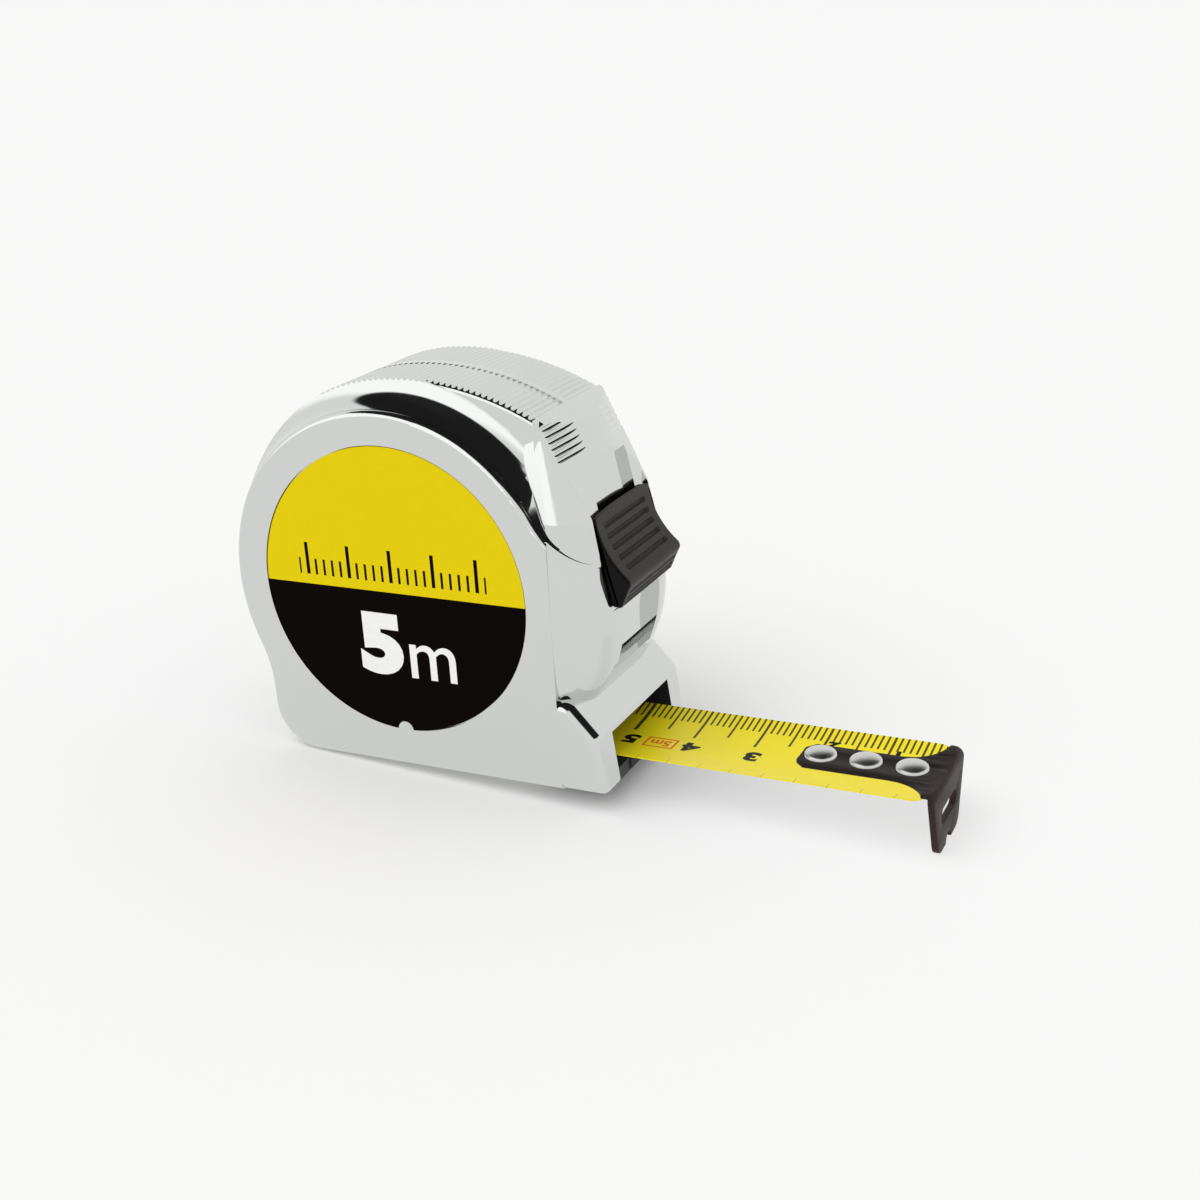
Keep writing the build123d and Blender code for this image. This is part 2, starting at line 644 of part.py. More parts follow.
def end_hook():
    """Bent steel hook: slotted strap on the blade and a down-turned plate."""
    outer_x = HOOK_INNER_X + HOOK_T
    half, wide, low = HOOK_STRAP_HALF, HOOK_TOP_HALF, HOOK_LOW_HALF
    near_flare = [(x, -y) for x, y in HOOK_FLARE]
    clip_x = HOOK_STRAP_X + HOOK_STRAP_CLIP
    clip_y = half - HOOK_STRAP_CLIP
    top = path((clip_x, half), (HOOK_STRAP_X, clip_y), (HOOK_STRAP_X, -clip_y), (clip_x, -half))
    top += path((clip_x, -half), near_flare[0])
    top.append(ThreePointArc(*near_flare))
    top += path(near_flare[2], (outer_x, -wide), (outer_x, wide), HOOK_FLARE[2])
    top.append(ThreePointArc(*HOOK_FLARE))
    top += path(HOOK_FLARE[0], (clip_x, half))
    section = cupped_section(wide, HOOK_STRAP_Z + HOOK_STRAP_T, HOOK_STRAP_T)
    strap = extrude(Plane.YZ.offset(HOOK_STRAP_X) * section, amount=outer_x - HOOK_STRAP_X)
    strap &= extrude(make_face(top), amount=HOOK_ROOF_Z)
    slot_r = RIVET_R + GAP
    for x in RIVETS_X:
        ends = (x - HOOK_PLAY / 2, x + HOOK_PLAY / 2)
        slot = block(ends, (-slot_r, slot_r), (0, HOOK_ROOF_Z))
        for end in ends:
            slot += rod_z(end, 0, slot_r, 0, HOOK_ROOF_Z)
        strap -= slot
    far_side = [(low, HOOK_TIP_Z), (wide, HOOK_SHOULDER_Z), (wide, HOOK_ROOF_Z)]
    near_side = [(-y, z) for y, z in reversed(far_side)]
    face = make_face(path(*near_side, *far_side, near_side[0]))
    for corner in (near_side[2], far_side[0]):
        face = fillet(nearest(face, corner), HOOK_TIP_R)
    nail_half, nail_r, nail_z = HOOK_NAIL
    face -= Pos(0, nail_z) * SlotOverall(2 * nail_half, 2 * nail_r)
    face -= Pos(0, HOOK_TIP_Z) * Circle(HOOK_NOTCH_R)
    depth = HOOK_STRAP_Z + HOOK_STRAP_T - HOOK_TIP_Z + HOOK_ROOF_Z
    face &= cupped_section(wide, HOOK_STRAP_Z + HOOK_STRAP_T, depth)
    plate = extrude(Plane.YZ.offset(HOOK_INNER_X) * face, amount=HOOK_T)
    corner = (outer_x - HOOK_BEND_R, HOOK_CORNER_Z - HOOK_BEND_R)
    back_x, low_z = HOOK_STRAP_X - PAST, HOOK_TIP_Z - PAST
    bend = path((corner[0], HOOK_CORNER_Z), (back_x, HOOK_CORNER_Z), (back_x, low_z), (outer_x, low_z))
    bend += [Line((outer_x, low_z), (outer_x, corner[1])), arc(corner, HOOK_BEND_R, 0, 90)]
    return (strap + plate) & prism(make_face(bend), wide + PAST)


def reel():
    """Drum with one flange, running on the centre post."""
    drum = rod_y(*AXIS, REEL_OUT_R, -REEL_HALF, REEL_HALF)
    drum -= rod_y(*AXIS, REEL_IN_R, -REEL_HALF - PAST, REEL_HALF)
    drum += rod_y(*AXIS, FLANGE_R, REEL_HALF, REEL_HALF + FLANGE_T)
    drum -= rod_y(*AXIS, REEL_BORE_R, 0, FAR)
    return drum - rod_z(AXIS[0], 0, ANCHOR_SHANK_R + FIT, AXIS[1], FAR)


def reel_cover():
    """Second flange, closing the open end of the drum."""
    disc = rod_y(*AXIS, FLANGE_R, -REEL_HALF - FLANGE_T, -REEL_HALF)
    return disc - rod_y(*AXIS, REEL_BORE_R, -FAR, 0)


def spring_anchor():
    """Rivet through the drum that joins the spring to the inner end of the blade."""
    inside, outside = AXIS[1] + REEL_IN_R - GAP, AXIS[1] + REEL_OUT_R + FIT
    body = rod_z(AXIS[0], 0, ANCHOR_SHANK_R, inside, outside)
    body += rod_z(AXIS[0], 0, ANCHOR_HEAD_R, inside - ANCHOR_HEAD_T, inside)
    return body + rod_z(AXIS[0], 0, ANCHOR_HEAD_R, outside, outside + ANCHOR_HEAD_T)


def spiral_arcs(radii, turns, shift):
    """Spiral round the reel axis as half circles about two close centres, moved outwards by a shift."""
    step = (radii[1] - radii[0]) / (2 * turns)
    arcs = []
    for i in range(2 * turns):
        below = i % 2
        centre = (AXIS[0] + step * (below - 0.5), AXIS[1])
        arcs.append(arc(centre, radii[0] + i * step + shift, 180 * below, 180 * below + 180))
    return arcs


def spiral_strip(radii, turns, thickness, half, inner_end=()):
    """Wound strip of constant thickness; inner_end adds corner points to its inner end."""
    inner = spiral_arcs(radii, turns, 0.0)
    outer = spiral_arcs(radii, turns, thickness)
    edges = inner + outer + [Line(inner[-1] @ 1, outer[-1] @ 1)]
    edges += path(outer[0] @ 0, *inner_end, inner[0] @ 0)
    return prism(make_face(edges), half)


def blade_winding():
    """Turns of blade wound on the drum."""
    return spiral_strip(WOUND_R, WOUND_TURNS, WOUND_T, WOUND_HALF)


def power_spring():
    """Coiled spring, its inner end tucked into the slot of the post."""
    low = AXIS[1] - SPRING_T
    tab = [(SPRING_R[0] + SPRING_T, low), (SPRING_TAB_X, low), (SPRING_TAB_X, AXIS[1])]
    return spiral_strip(SPRING_R, SPRING_TURNS, SPRING_T, SPRING_HALF, tab)


def lock_button():
    """Thumb piece of the lock: hollowed front face with grip grooves and a lip at its lower end."""
    edges = path(LOCK_BACK_LOW, LOCK_BACK_TOP, LOCK_CREST)
    hollow = ThreePointArc(LOCK_CREST, LOCK_HOLLOW, LOCK_LIP_TOP)
    edges += [hollow, ThreePointArc(LOCK_LIP_TOP, LOCK_LIP, LOCK_LIP_LOW)]
    edges += path(LOCK_LIP_LOW, LOCK_FRONT_LOW, LOCK_BACK_LOW)
    button = prism(make_face(edges), LOCK_HALF)
    for i in range(LOCK_GROOVES):
        at = hollow.position_at((i + 0.9) / (LOCK_GROOVES + 0.9))
        groove = rod_y(at.X, at.Y, LOCK_GROOVE_R, -LOCK_GROOVE_HALF, LOCK_GROOVE_HALF)
        for side in (-1, 1):
            groove += Pos(at.X, side * LOCK_GROOVE_HALF, at.Y) * Sphere(LOCK_GROOVE_R)
        button -= groove
    peak = LOCK_CREST[1] + GAP
    clip = [(LOCK_CLIP_Y, peak), (FAR, peak), (FAR, LOCK_CLIP_Z), (LOCK_HALF, LOCK_CLIP_Z)]
    corner = extrude(Plane.YZ * make_face(path(*clip, clip[0])), amount=FAR)
    return button - corner - mirror(corner, Plane.XZ)


def lock_arm():
    """Neck through the front slot and the arm that runs down behind the nose."""
    low, high = NECK_Z
    neck = [(ARM_X[1], low), (lock_line_x(low), low), (lock_line_x(high), high), (ARM_X[1], high)]
    arm = prism(make_face(path(*neck, neck[0])), NECK_HALF)
    return arm + block(ARM_X, (-ARM_HALF, ARM_HALF), (SHOE_Z[2], high))


def lock_shoe():
    """Forked shoe that presses on the blade on both sides of the hook strap."""
    pad_low, pad_high = SHOE_PAD_Y
    shoe = block(SHOE_X, (-pad_high, pad_high), SHOE_Z[1:])
    for side in (-1, 1):
        shoe += block(SHOE_X, sorted((side * pad_low, side * pad_high)), SHOE_Z[:2])
    return shoe


def belt_clip():
    """Bent spring-steel clip on the far side, with an access hole for its screw."""
    bend_r = (CLIP_TONGUE_Y - CLIP_LEG_Y) / 2
    top = (CLIP_LEG_Y + bend_r, CLIP_TOP_Z + bend_r)
    line = Line((CLIP_LEG_Y, CLIP_LEG_LOW_Z), (CLIP_LEG_Y, CLIP_TOP_Z))
    line += ThreePointArc((CLIP_LEG_Y, CLIP_TOP_Z), top, (CLIP_TONGUE_Y, CLIP_TOP_Z))
    for a, b in zip(
        [(CLIP_TONGUE_Y, CLIP_TOP_Z), (CLIP_TONGUE_Y, CLIP_BEND_Z), CLIP_TOUCH],
        [(CLIP_TONGUE_Y, CLIP_BEND_Z), CLIP_TOUCH, CLIP_TIP],
    ):
        line += Line(a, b)
    strip = extrude(Plane.YZ * trace(line, CLIP_T), amount=CLIP_HALF, both=True)
    strip -= rod_y(0, CLIP_SCREW_Z, CLIP_SCREW_R + GAP, CLIP_LEG_Y - PAST, CLIP_LEG_Y + PAST)
    return strip - rod_y(0, CLIP_SCREW_Z, CLIP_ACCESS_R, CLIP_TONGUE_Y - CLIP_T, FAR)


def clip_screw():
    """Screw that holds the belt clip."""
    seat = CLIP_LEG_Y + CLIP_T / 2
    body = rod_y(0, CLIP_SCREW_Z, CLIP_SCREW_R, CLIP_SCREW_TIP_Y, seat)
    body += rod_y(0, CLIP_SCREW_Z, CLIP_HEAD_R, seat, seat + CLIP_HEAD_T)
    width, length, depth = SCREW_CROSS
    top = (seat + CLIP_HEAD_T - depth, seat + CLIP_HEAD_T + PAST)
    z = CLIP_SCREW_Z
    body -= block((-length / 2, length / 2), top, (z - width / 2, z + width / 2))
    return body - block((-width / 2, width / 2), top, (z - length / 2, z + length / 2))


def main():
    """Build every piece and write it."""
    near, far = case_halves()
    pieces = {
        "case_left": near,
        "case_right": far,
        "label_left": label(-1),
        "label_right": label(1),
        "case_screws": case_screws(),
        "center_post": centre_post(),
        "mouth_insert": mouth_insert(),
        "hook_bumper": hook_bumper(),
        "belt_clip": belt_clip(),
        "clip_screw": clip_screw(),
        "reel": reel(),
        "reel_cover": reel_cover(),
        "spring_anchor": spring_anchor(),
        "blade_winding": blade_winding(),
        "power_spring": power_spring(),
        "blade": blade(),
        "blade_run": blade_run(),
        "hook_rivets": hook_rivets(),
        "end_hook": end_hook(),
        "lock_button": lock_button(),
        "lock_arm": lock_arm(),
        "lock_shoe": lock_shoe(),
    }
    os.makedirs(OUT_DIR, exist_ok=True)
    for name, piece in pieces.items():
        export_step(piece, os.path.join(OUT_DIR, name + ".step"))


if __name__ == "__main__":
    main()
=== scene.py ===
"""Pocket tape measure: finishes, blade print, hook, rivets, thumb lock and studio round the CAD frame.

Sizes are in millimetres in the part's own frame, and meshes are written in metres: +X runs along the blade
towards the hook, +Z is up, and -Y is the side whose label faces the camera.
"""

import json
import logging
from dataclasses import dataclass
from enum import Enum
from math import cos, radians, sin

import bmesh
import bpy
import numpy as np
from mathutils import Matrix, Vector

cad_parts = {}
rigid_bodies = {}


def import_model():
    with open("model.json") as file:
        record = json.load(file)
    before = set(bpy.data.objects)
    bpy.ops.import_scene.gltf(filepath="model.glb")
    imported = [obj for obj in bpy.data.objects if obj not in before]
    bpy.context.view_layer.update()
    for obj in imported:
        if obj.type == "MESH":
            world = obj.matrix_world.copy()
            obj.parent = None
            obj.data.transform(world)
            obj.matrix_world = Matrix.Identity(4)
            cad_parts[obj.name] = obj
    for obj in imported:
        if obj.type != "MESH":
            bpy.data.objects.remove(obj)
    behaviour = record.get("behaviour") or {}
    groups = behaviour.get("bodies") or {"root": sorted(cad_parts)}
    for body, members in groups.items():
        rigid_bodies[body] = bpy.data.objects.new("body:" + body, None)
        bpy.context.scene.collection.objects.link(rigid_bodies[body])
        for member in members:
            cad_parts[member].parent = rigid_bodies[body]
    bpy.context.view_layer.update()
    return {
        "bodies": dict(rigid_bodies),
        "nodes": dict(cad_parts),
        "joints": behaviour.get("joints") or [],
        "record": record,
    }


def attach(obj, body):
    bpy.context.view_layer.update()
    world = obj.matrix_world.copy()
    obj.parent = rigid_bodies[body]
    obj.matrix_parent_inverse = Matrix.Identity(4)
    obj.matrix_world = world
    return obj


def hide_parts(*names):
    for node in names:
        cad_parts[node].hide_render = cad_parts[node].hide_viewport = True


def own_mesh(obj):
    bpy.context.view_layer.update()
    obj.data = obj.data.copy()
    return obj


MM = 0.001
MERGE_DISTANCE = 0.001
# Half the thickness of printed lettering, and the steps of its curves.
INK_HALF = 0.02
LETTER_STEPS = 6
# Sockets of the Mix node for colours.
MIX_FACTOR = 0
MIX_FIRST = 6
MIX_SECOND = 7
MIX_RESULT = 2
LOG = logging.getLogger("tape_measure")

Colour = tuple[float, float, float]
Point = tuple[float, float]
Triple = tuple[float, float, float]
Material = bpy.types.Material
Piece = bpy.types.Object
Socket = bpy.types.NodeSocket
Nodes = dict[str, Piece]
Mesh = tuple[np.ndarray, list]


class Body(Enum):
    """Bodies of the part that added pieces ride on."""

    CASE = "case"
    BLADE = "blade"
    HOOK = "hook"
    LOCK = "lock"


class Slot(Enum):
    """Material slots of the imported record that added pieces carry."""

    LABEL = "label"
    RIVET = "rivet_steel"
    LOCK = "lock_plastic"
    BLADE = "blade_yellow"
    HOOK = "hook_black"


class Value:
    """A number that varies over a surface: one output socket, on which arithmetic adds Math nodes."""

    def __init__(self, paint: "Paint", socket: Socket) -> None:
        """Keep the socket and the node tree that it is in."""
        self.paint = paint
        self.socket = socket

    def math(self, operation: str, *others: "Value | float", first: float | None = None) -> "Value":
        """Add one Math node.

        Args:
            operation: name of the Math node's operation.
            others: the operands after this value.
            first: a number that goes before this value, for reflected operators.

        Returns:
            The node's result.
        """
        operands = [self, *others] if first is None else [first, self, *others]
        node = self.paint.node("ShaderNodeMath", {"operation": operation}, dict(enumerate(operands)))
        return Value(self.paint, node.outputs[0])

    def __add__(self, other: "Value | float") -> "Value":
        """This value plus another."""
        return self.math("ADD", other)

    def __radd__(self, other: float) -> "Value":
        """A number plus this value."""
        return self.math("ADD", first=other)

    def __sub__(self, other: "Value | float") -> "Value":
        """This value minus another."""
        return self.math("SUBTRACT", other)

    def __rsub__(self, other: float) -> "Value":
        """A number minus this value."""
        return self.math("SUBTRACT", first=other)

    def __mul__(self, other: "Value | float") -> "Value":
        """This value times another."""
        return self.math("MULTIPLY", other)

    def __rmul__(self, other: float) -> "Value":
        """A number times this value."""
        return self.math("MULTIPLY", first=other)

    def __truediv__(self, other: "Value | float") -> "Value":
        """This value divided by another."""
        return self.math("DIVIDE", other)

    def __abs__(self) -> "Value":
        """This value without its sign."""
        return self.math("ABSOLUTE")

    def __lt__(self, other: "Value | float") -> "Value":
        """1 where this value is below another, and 0 elsewhere."""
        return self.math("LESS_THAN", other)

    def __gt__(self, other: "Value | float") -> "Value":
        """1 where this value is above another, and 0 elsewhere."""
        return self.math("GREATER_THAN", other)

    def either(self, other: "Value") -> "Value":
        """The larger of two masks."""
        return self.math("MAXIMUM", other)

    def off_mark(self, pitch: float) -> "Value":
        """Distance to the nearest multiple of a pitch."""
        return self.math("PINGPONG", pitch / 2)

    def about(self, middle: float, width: float) -> "Value":
        """A noise from 0 to 1, moved to a middle and stretched to a width."""
        return middle + width * (self - 0.5)

    def ease(self, low: float, high: float) -> "Value":
        """0 below low, 1 above high, and a smooth step between them."""
        node = self.paint.node(
            "ShaderNodeMapRange",
            {"interpolation_type": "SMOOTHSTEP"},
            {"Value": self, "From Min": low, "From Max": high},
        )
        return Value(self.paint, node.outputs[0])


class Paint:
    """Node tree of a material or of the world, with one way to add a node to it."""

    def __init__(self, tree: bpy.types.NodeTree) -> None:
        """Start from an empty tree."""
        self.tree = tree
        tree.nodes.clear()

    def node(self, kind: str, settings: dict | None = None, sockets: dict | None = None) -> bpy.types.Node:
        """Add a node.

        Args:
            kind: the node's type.
            settings: properties, set before the sockets.
            sockets: input name or number to a Value, an output socket or a plain value.

        Returns:
            The new node.
        """
        node = self.tree.nodes.new(kind)
        for name, setting in (settings or {}).items():
            setattr(node, name, setting)
        for name, given in (sockets or {}).items():
            socket = node.inputs[name]
            if isinstance(given, Value):
                self.tree.links.new(given.socket, socket)
            elif isinstance(given, Socket):
                self.tree.links.new(given, socket)
            else:
                socket.default_value = (*given, 1.0) if socket.type == "RGBA" else given
        return node

    def place(self) -> Socket:
        """Object coordinates, in metres."""
        return self.node("ShaderNodeTexCoord").outputs["Object"]

    def axes(self) -> tuple[Value, Value, Value]:
        """Object coordinates as three values in millimetres."""
        sockets = {0: self.place(), "Scale": 1.0 / MM}
        scaled = self.node("ShaderNodeVectorMath", {"operation": "SCALE"}, sockets)
        split = self.node("ShaderNodeSeparateXYZ", None, {0: scaled.outputs[0]})
        return tuple(Value(self, out) for out in split.outputs)

    def noise(self, size: float, detail: float = 2.0, stretch: Triple = (1, 1, 1)) -> Value:
        """Cloudy noise from 0 to 1.

        Args:
            size: length of one cloud in millimetres.
            detail: number of finer layers.
            stretch: how much the clouds shrink along X, Y and Z.

        Returns:
            The noise as a value.
        """
        mapped = self.node("ShaderNodeMapping", None, {"Vector": self.place(), "Scale": stretch})
        sockets = {"Vector": mapped.outputs[0], "Scale": 1.0 / (size * MM), "Detail": detail}
        return Value(self, self.node("ShaderNodeTexNoise", None, sockets).outputs[0])

    def blend(self, mask: Value, first: object, second: object) -> Socket:
        """Colour that goes from the first to the second as the mask goes from 0 to 1."""
        sockets = {MIX_FACTOR: mask, MIX_FIRST: first, MIX_SECOND: second}
        return self.node("ShaderNodeMix", {"data_type": "RGBA"}, sockets).outputs[MIX_RESULT]

    def bump(self, height: Value, depth: float) -> Socket:
        """Normal of a surface raised by a height from 0 to 1 times a depth in millimetres."""
        sockets = {"Height": height, "Distance": depth * MM, "Strength": 1.0}
        return self.node("ShaderNodeBump", None, sockets).outputs[0]

    def surface(self, **sockets: object) -> None:
        """Close the tree with one Principled shader; underscores in the names stand for spaces."""
        named = {name.replace("_", " "): given for name, given in sockets.items()}
        shader = self.node("ShaderNodeBsdfPrincipled", None, named)
        self.node("ShaderNodeOutputMaterial", None, {"Surface": shader.outputs[0]})


def new_paint(name: str) -> tuple[Material, Paint]:
    """A new material and its empty node tree."""
    material = bpy.data.materials.new(name)
    material.use_nodes = True
    return material, Paint(material.node_tree)


def tinted(colour: Colour, share: float, lift: float = 0.0) -> Colour:
    """A colour times a share, plus a lift, and no brighter than white."""
    return tuple(min(1.0, part * share + lift) for part in colour)


@dataclass(frozen=True)
class ChromePlate:
    """Bright plating over black plastic, nearly a mirror with faint waves and haze; inside the mouth,
    painted shade in matt black instead.
    """

    colour: Colour = (0.70, 0.715, 0.70)
    dull: float = 0.96
    dull_size: float = 14.0
    roughness: float = 0.07
    haze_spread: float = 0.6
    haze_size: float = 2.2
    wave_size: float = 5.0
    wave_depth: float = 0.006
    # Painted shade: matt black colour inside the mouth, in place of the plating.
    bare: Colour = (0.008, 0.008, 0.008)
    bare_roughness: float = 0.6
    mouth_x: Point = (20.0, 36.0)
    mouth_half: float = 10.5
    mouth_z: Point = (0.4, 8.5)

    def unplated(self, paint: Paint) -> Value:
        """Mask of the inside of the mouth, where shade is painted in black."""
        x, y, z = paint.axes()
        inside = (x > self.mouth_x[0]) * (x < self.mouth_x[1]) * (abs(y) < self.mouth_half)
        return inside * (z > self.mouth_z[0]) * (z < self.mouth_z[1])

    def material(self) -> Material:
        """Build the material."""
        made, paint = new_paint("chrome_plate")
        haze = paint.noise(self.haze_size, detail=4.0).about(1.0, self.haze_spread)
        # Painted shade: black and not metallic inside the mouth.
        bare = self.unplated(paint)
        plated = paint.blend(paint.noise(self.dull_size), self.colour, tinted(self.colour, self.dull))
        paint.surface(
            Base_Color=paint.blend(bare, plated, self.bare),
            Metallic=1.0 - bare,
            Roughness=self.roughness * haze * (1.0 - bare) + self.bare_roughness * bare,
            Normal=paint.bump(paint.noise(self.wave_size, detail=1.0), self.wave_depth),
        )
        return made


@dataclass(frozen=True)
class MouldedPlastic:
    """Moulded plastic with a fine spark-eroded grain."""

    name: str
    colour: Colour
    roughness: float
    grain_size: float = 0.35
    grain_depth: float = 0.02
    speckle: float = 0.25
    speckle_lift: float = 0.01
    worn_size: float = 3.0
    worn_spread: float = 0.15

    def material(self) -> Material:
        """Build the material."""
        made, paint = new_paint(self.name)
        grain = paint.noise(self.grain_size, detail=3.0)
        dark = tinted(self.colour, 1 - self.speckle)
        light = tinted(self.colour, 1 + 2 * self.speckle, self.speckle_lift * self.speckle)
        paint.surface(
            Base_Color=paint.blend(grain, dark, light),
            Roughness=paint.noise(self.worn_size).about(self.roughness, self.worn_spread),
            Normal=paint.bump(grain, self.grain_depth),
        )
        return made


@dataclass(frozen=True)
class GripPlastic:
    """Dark grey satin plastic of the thumb lock, with painted shade in black on its two side faces."""

    front: Colour = (0.042, 0.038, 0.036)
    front_dark: float = 0.75
    front_light: float = 1.5
    # Painted shade: black on the two side faces of the grip.
    side: Colour = (0.004, 0.004, 0.004)
    side_y: Point = (9.05, 9.4)
    roughness: float = 0.48
    gloss: float = 0.12
    grain_size: float = 0.3
    grain_depth: float = 0.012
    worn_size: float = 3.0
    worn_spread: float = 0.15

    def material(self) -> Material:
        """Build the material."""
        made, paint = new_paint("lock_plastic")
        _, across, _ = paint.axes()
        grain = paint.noise(self.grain_size, detail=3.0)
        # Painted shade: the side faces go black.
        side_shade = abs(across).ease(*self.side_y)
        dark, light = tinted(self.front, self.front_dark), tinted(self.front, self.front_light)
        paint.surface(
            Base_Color=paint.blend(side_shade, paint.blend(grain, dark, light), self.side),
            Roughness=paint.noise(self.worn_size).about(self.roughness, self.worn_spread),
            Specular_IOR_Level=self.gloss,
            Normal=paint.bump(grain, self.grain_depth),
        )
        return made


@dataclass(frozen=True)
class BareSteel:
    """Drawn or rolled steel with fine lines along one direction."""

    name: str
    colour: Colour
    roughness: float
    line_size: float = 3.0
    stretch: Triple = (1.0, 12.0, 12.0)
    line_depth: float = 0.004
    line_dull: float = 0.88
    line_spread: float = 0.5

    def material(self) -> Material:
        """Build the material."""
        made, paint = new_paint(self.name)
        lines = paint.noise(self.line_size, detail=4.0, stretch=self.stretch)
        paint.surface(
            Base_Color=paint.blend(lines, tinted(self.colour, self.line_dull), self.colour),
            Metallic=1.0,
            Roughness=self.roughness * lines.about(1.0, self.line_spread),
            Normal=paint.bump(lines, self.line_depth),
        )
        return made


@dataclass(frozen=True)
class PlainInk:
    """Printing ink of one colour, slightly uneven."""

    name: str
    colour: Colour
    roughness: float = 0.45
    roughness_spread: float = 0.1
    gloss: float = 0.1
    thin_size: float = 0.4
    thin_share: float = 1.15
    thin_lift: float = 0.004

    def material(self) -> Material:
        """Build the material."""
        made, paint = new_paint(self.name)
        uneven = paint.noise(self.thin_size, detail=3.0)
        thin = tinted(self.colour, self.thin_share, self.thin_lift)
        paint.surface(
            Base_Color=paint.blend(uneven, self.colour, thin),
            Roughness=uneven.about(self.roughness, self.roughness_spread),
            Specular_IOR_Level=self.gloss,
        )
        return made


@dataclass(frozen=True)
class LabelFilm:
    """Printed film, yellow above a straight line and black below it, with a row of ruler ticks above it."""

    yellow: Colour = (0.835, 0.655, 0.006)
    yellow_dull: float = 0.95
    black: Colour = (0.003, 0.0015, 0.0015)
    black_share: float = 1.6
    black_lift: float = 0.0005
    split_z: float = 29.0
    roughness: float = 0.38
    worn_size: float = 6.0
    worn_spread: float = 0.08
    gloss: float = 0.015
    mottle_size: float = 0.5
    mottle_depth: float = 0.002
    tick_from_z: float = 30.6
    tick_reach: float = 16.6
    ticks: tuple[Triple, ...] = ((1.5, 2.6, 0.42), (7.5, 5.2, 0.62))

    def ruler(self, along: Value, height: Value) -> Value:
        """Mask of the ruler ticks: each row stands at the multiples of its pitch, up to its own length."""
        inked = along * 0.0
        for pitch, length, width in self.ticks:
            row = (along.off_mark(pitch) < width / 2) * (height < self.tick_from_z + length)
            inked = inked.either(row)
        return inked * (height > self.tick_from_z) * (abs(along) < self.tick_reach)

    def material(self) -> Material:
        """Build the material."""
        made, paint = new_paint("label_film")
        along, _, height = paint.axes()
        mottle = paint.noise(self.mottle_size, detail=3.0)
        yellow = paint.blend(mottle, self.yellow, tinted(self.yellow, self.yellow_dull))
        black = paint.blend(mottle, self.black, tinted(self.black, self.black_share, self.black_lift))
        inked = (height < self.split_z).either(self.ruler(along, height))
        paint.surface(
            Base_Color=paint.blend(inked, yellow, black),
            Roughness=paint.noise(self.worn_size).about(self.roughness, self.worn_spread),
            Specular_IOR_Level=self.gloss,
            Normal=paint.bump(mottle, self.mottle_depth),
        )
        return made


@dataclass(frozen=True)
class BladeLacquer:
    """Yellow lacquer on spring steel, printed with a millimetre scale along the far edge."""

    yellow: Colour = (0.95, 0.80, 0.012)
    yellow_dull: float = 0.95
    mottle_size: float = 4.0
    ink: Colour = (0.014, 0.010, 0.003)
    ink_least: float = 0.86
    ink_worn_size: float = 0.35
    zero_x: float = 81.7
    half_width: float = 9.5
    roughness: float = 0.34
    worn_size: float = 1.0
    worn_spread: float = 0.12
    gloss: float = 0.15
    grain_size: float = 0.5
    grain_depth: float = 0.002
    scale: tuple[Triple, ...] = ((1.0, 3.7, 0.34), (5.0, 6.7, 0.36), (10.0, 8.4, 0.42), (50.0, 8.4, 0.6))
    near_pitch: float = 5.0
    near_length: float = 1.5
    near_width: float = 0.14
    near_ink: float = 0.45

    def ticks(self, along: Value, across: Value) -> Value:
        """Mask of the printed ticks.

        A tick of each row stands at every multiple of its pitch from the zero, and runs in from the far
        edge by its length; short faint ones stand on the near edge.

        Args:
            along: distance from the zero of the scale.
            across: place across the blade.

        Returns:
            1 on a tick, and less on the faint ones.
        """
        near = along.off_mark(self.near_pitch) < self.near_width / 2
        inked = near * (across < self.near_length - self.half_width) * self.near_ink
        for pitch, length, width in self.scale:
            row = (along.off_mark(pitch) < width / 2) * (across > self.half_width - length)
            inked = inked.either(row)
        return inked

    def material(self, printed: bool) -> Material:
        """Build the material, printed with the scale or left unprinted."""
        made, paint = new_paint("blade_printed" if printed else "blade_bare")
        along, across, _ = paint.axes()
        mottle = paint.noise(self.mottle_size, detail=3.0)
        colour = paint.blend(mottle, self.yellow, tinted(self.yellow, self.yellow_dull))
        if printed:
            worn = self.ink_least + (1.0 - self.ink_least) * paint.noise(self.ink_worn_size)
            colour = paint.blend(self.ticks(self.zero_x - along, across) * worn, colour, self.ink)
        paint.surface(
            Base_Color=colour,
            Roughness=paint.noise(self.worn_size, detail=3.0).about(self.roughness, self.worn_spread),
            Specular_IOR_Level=self.gloss,
            Normal=paint.bump(paint.noise(self.grain_size), self.grain_depth),
        )
        return made


@dataclass(frozen=True)
class HookOxide:
    """Dark oxide on stamped steel: warm brown-black, a little paler in cloudy patches towards its bent end.
    """

    dark: Colour = (0.010, 0.006, 0.0055)
    rubbed: Colour = (0.045, 0.028, 0.027)
    rub_x: Point = (79.0, 83.0)
    rub_least: float = 0.25
    rub_more: float = 0.55
    rub_size: float = 2.5
    rub_spread: float = 0.8
    roughness: float = 0.48
    roughness_spread: float = 0.2
    gloss: float = 0.10
    grain_size: float = 0.4
    grain_depth: float = 0.012

    def material(self) -> Material:
        """Build the material."""
        made, paint = new_paint("hook_oxide")
        along, _, _ = paint.axes()
        grain = paint.noise(self.grain_size, detail=4.0)
        cloudy = paint.noise(self.rub_size, detail=3.0).about(1.0, self.rub_spread)
        # Paler in cloudy patches, more so towards the bent end.
        paler_mask = (along.ease(*self.rub_x) * self.rub_more + self.rub_least) * cloudy
        paint.surface(
            Base_Color=paint.blend(paler_mask, self.dark, self.rubbed),
            Roughness=grain.about(self.roughness, self.roughness_spread),
            Specular_IOR_Level=self.gloss,
            Normal=paint.bump(grain, self.grain_depth),
        )
        return made


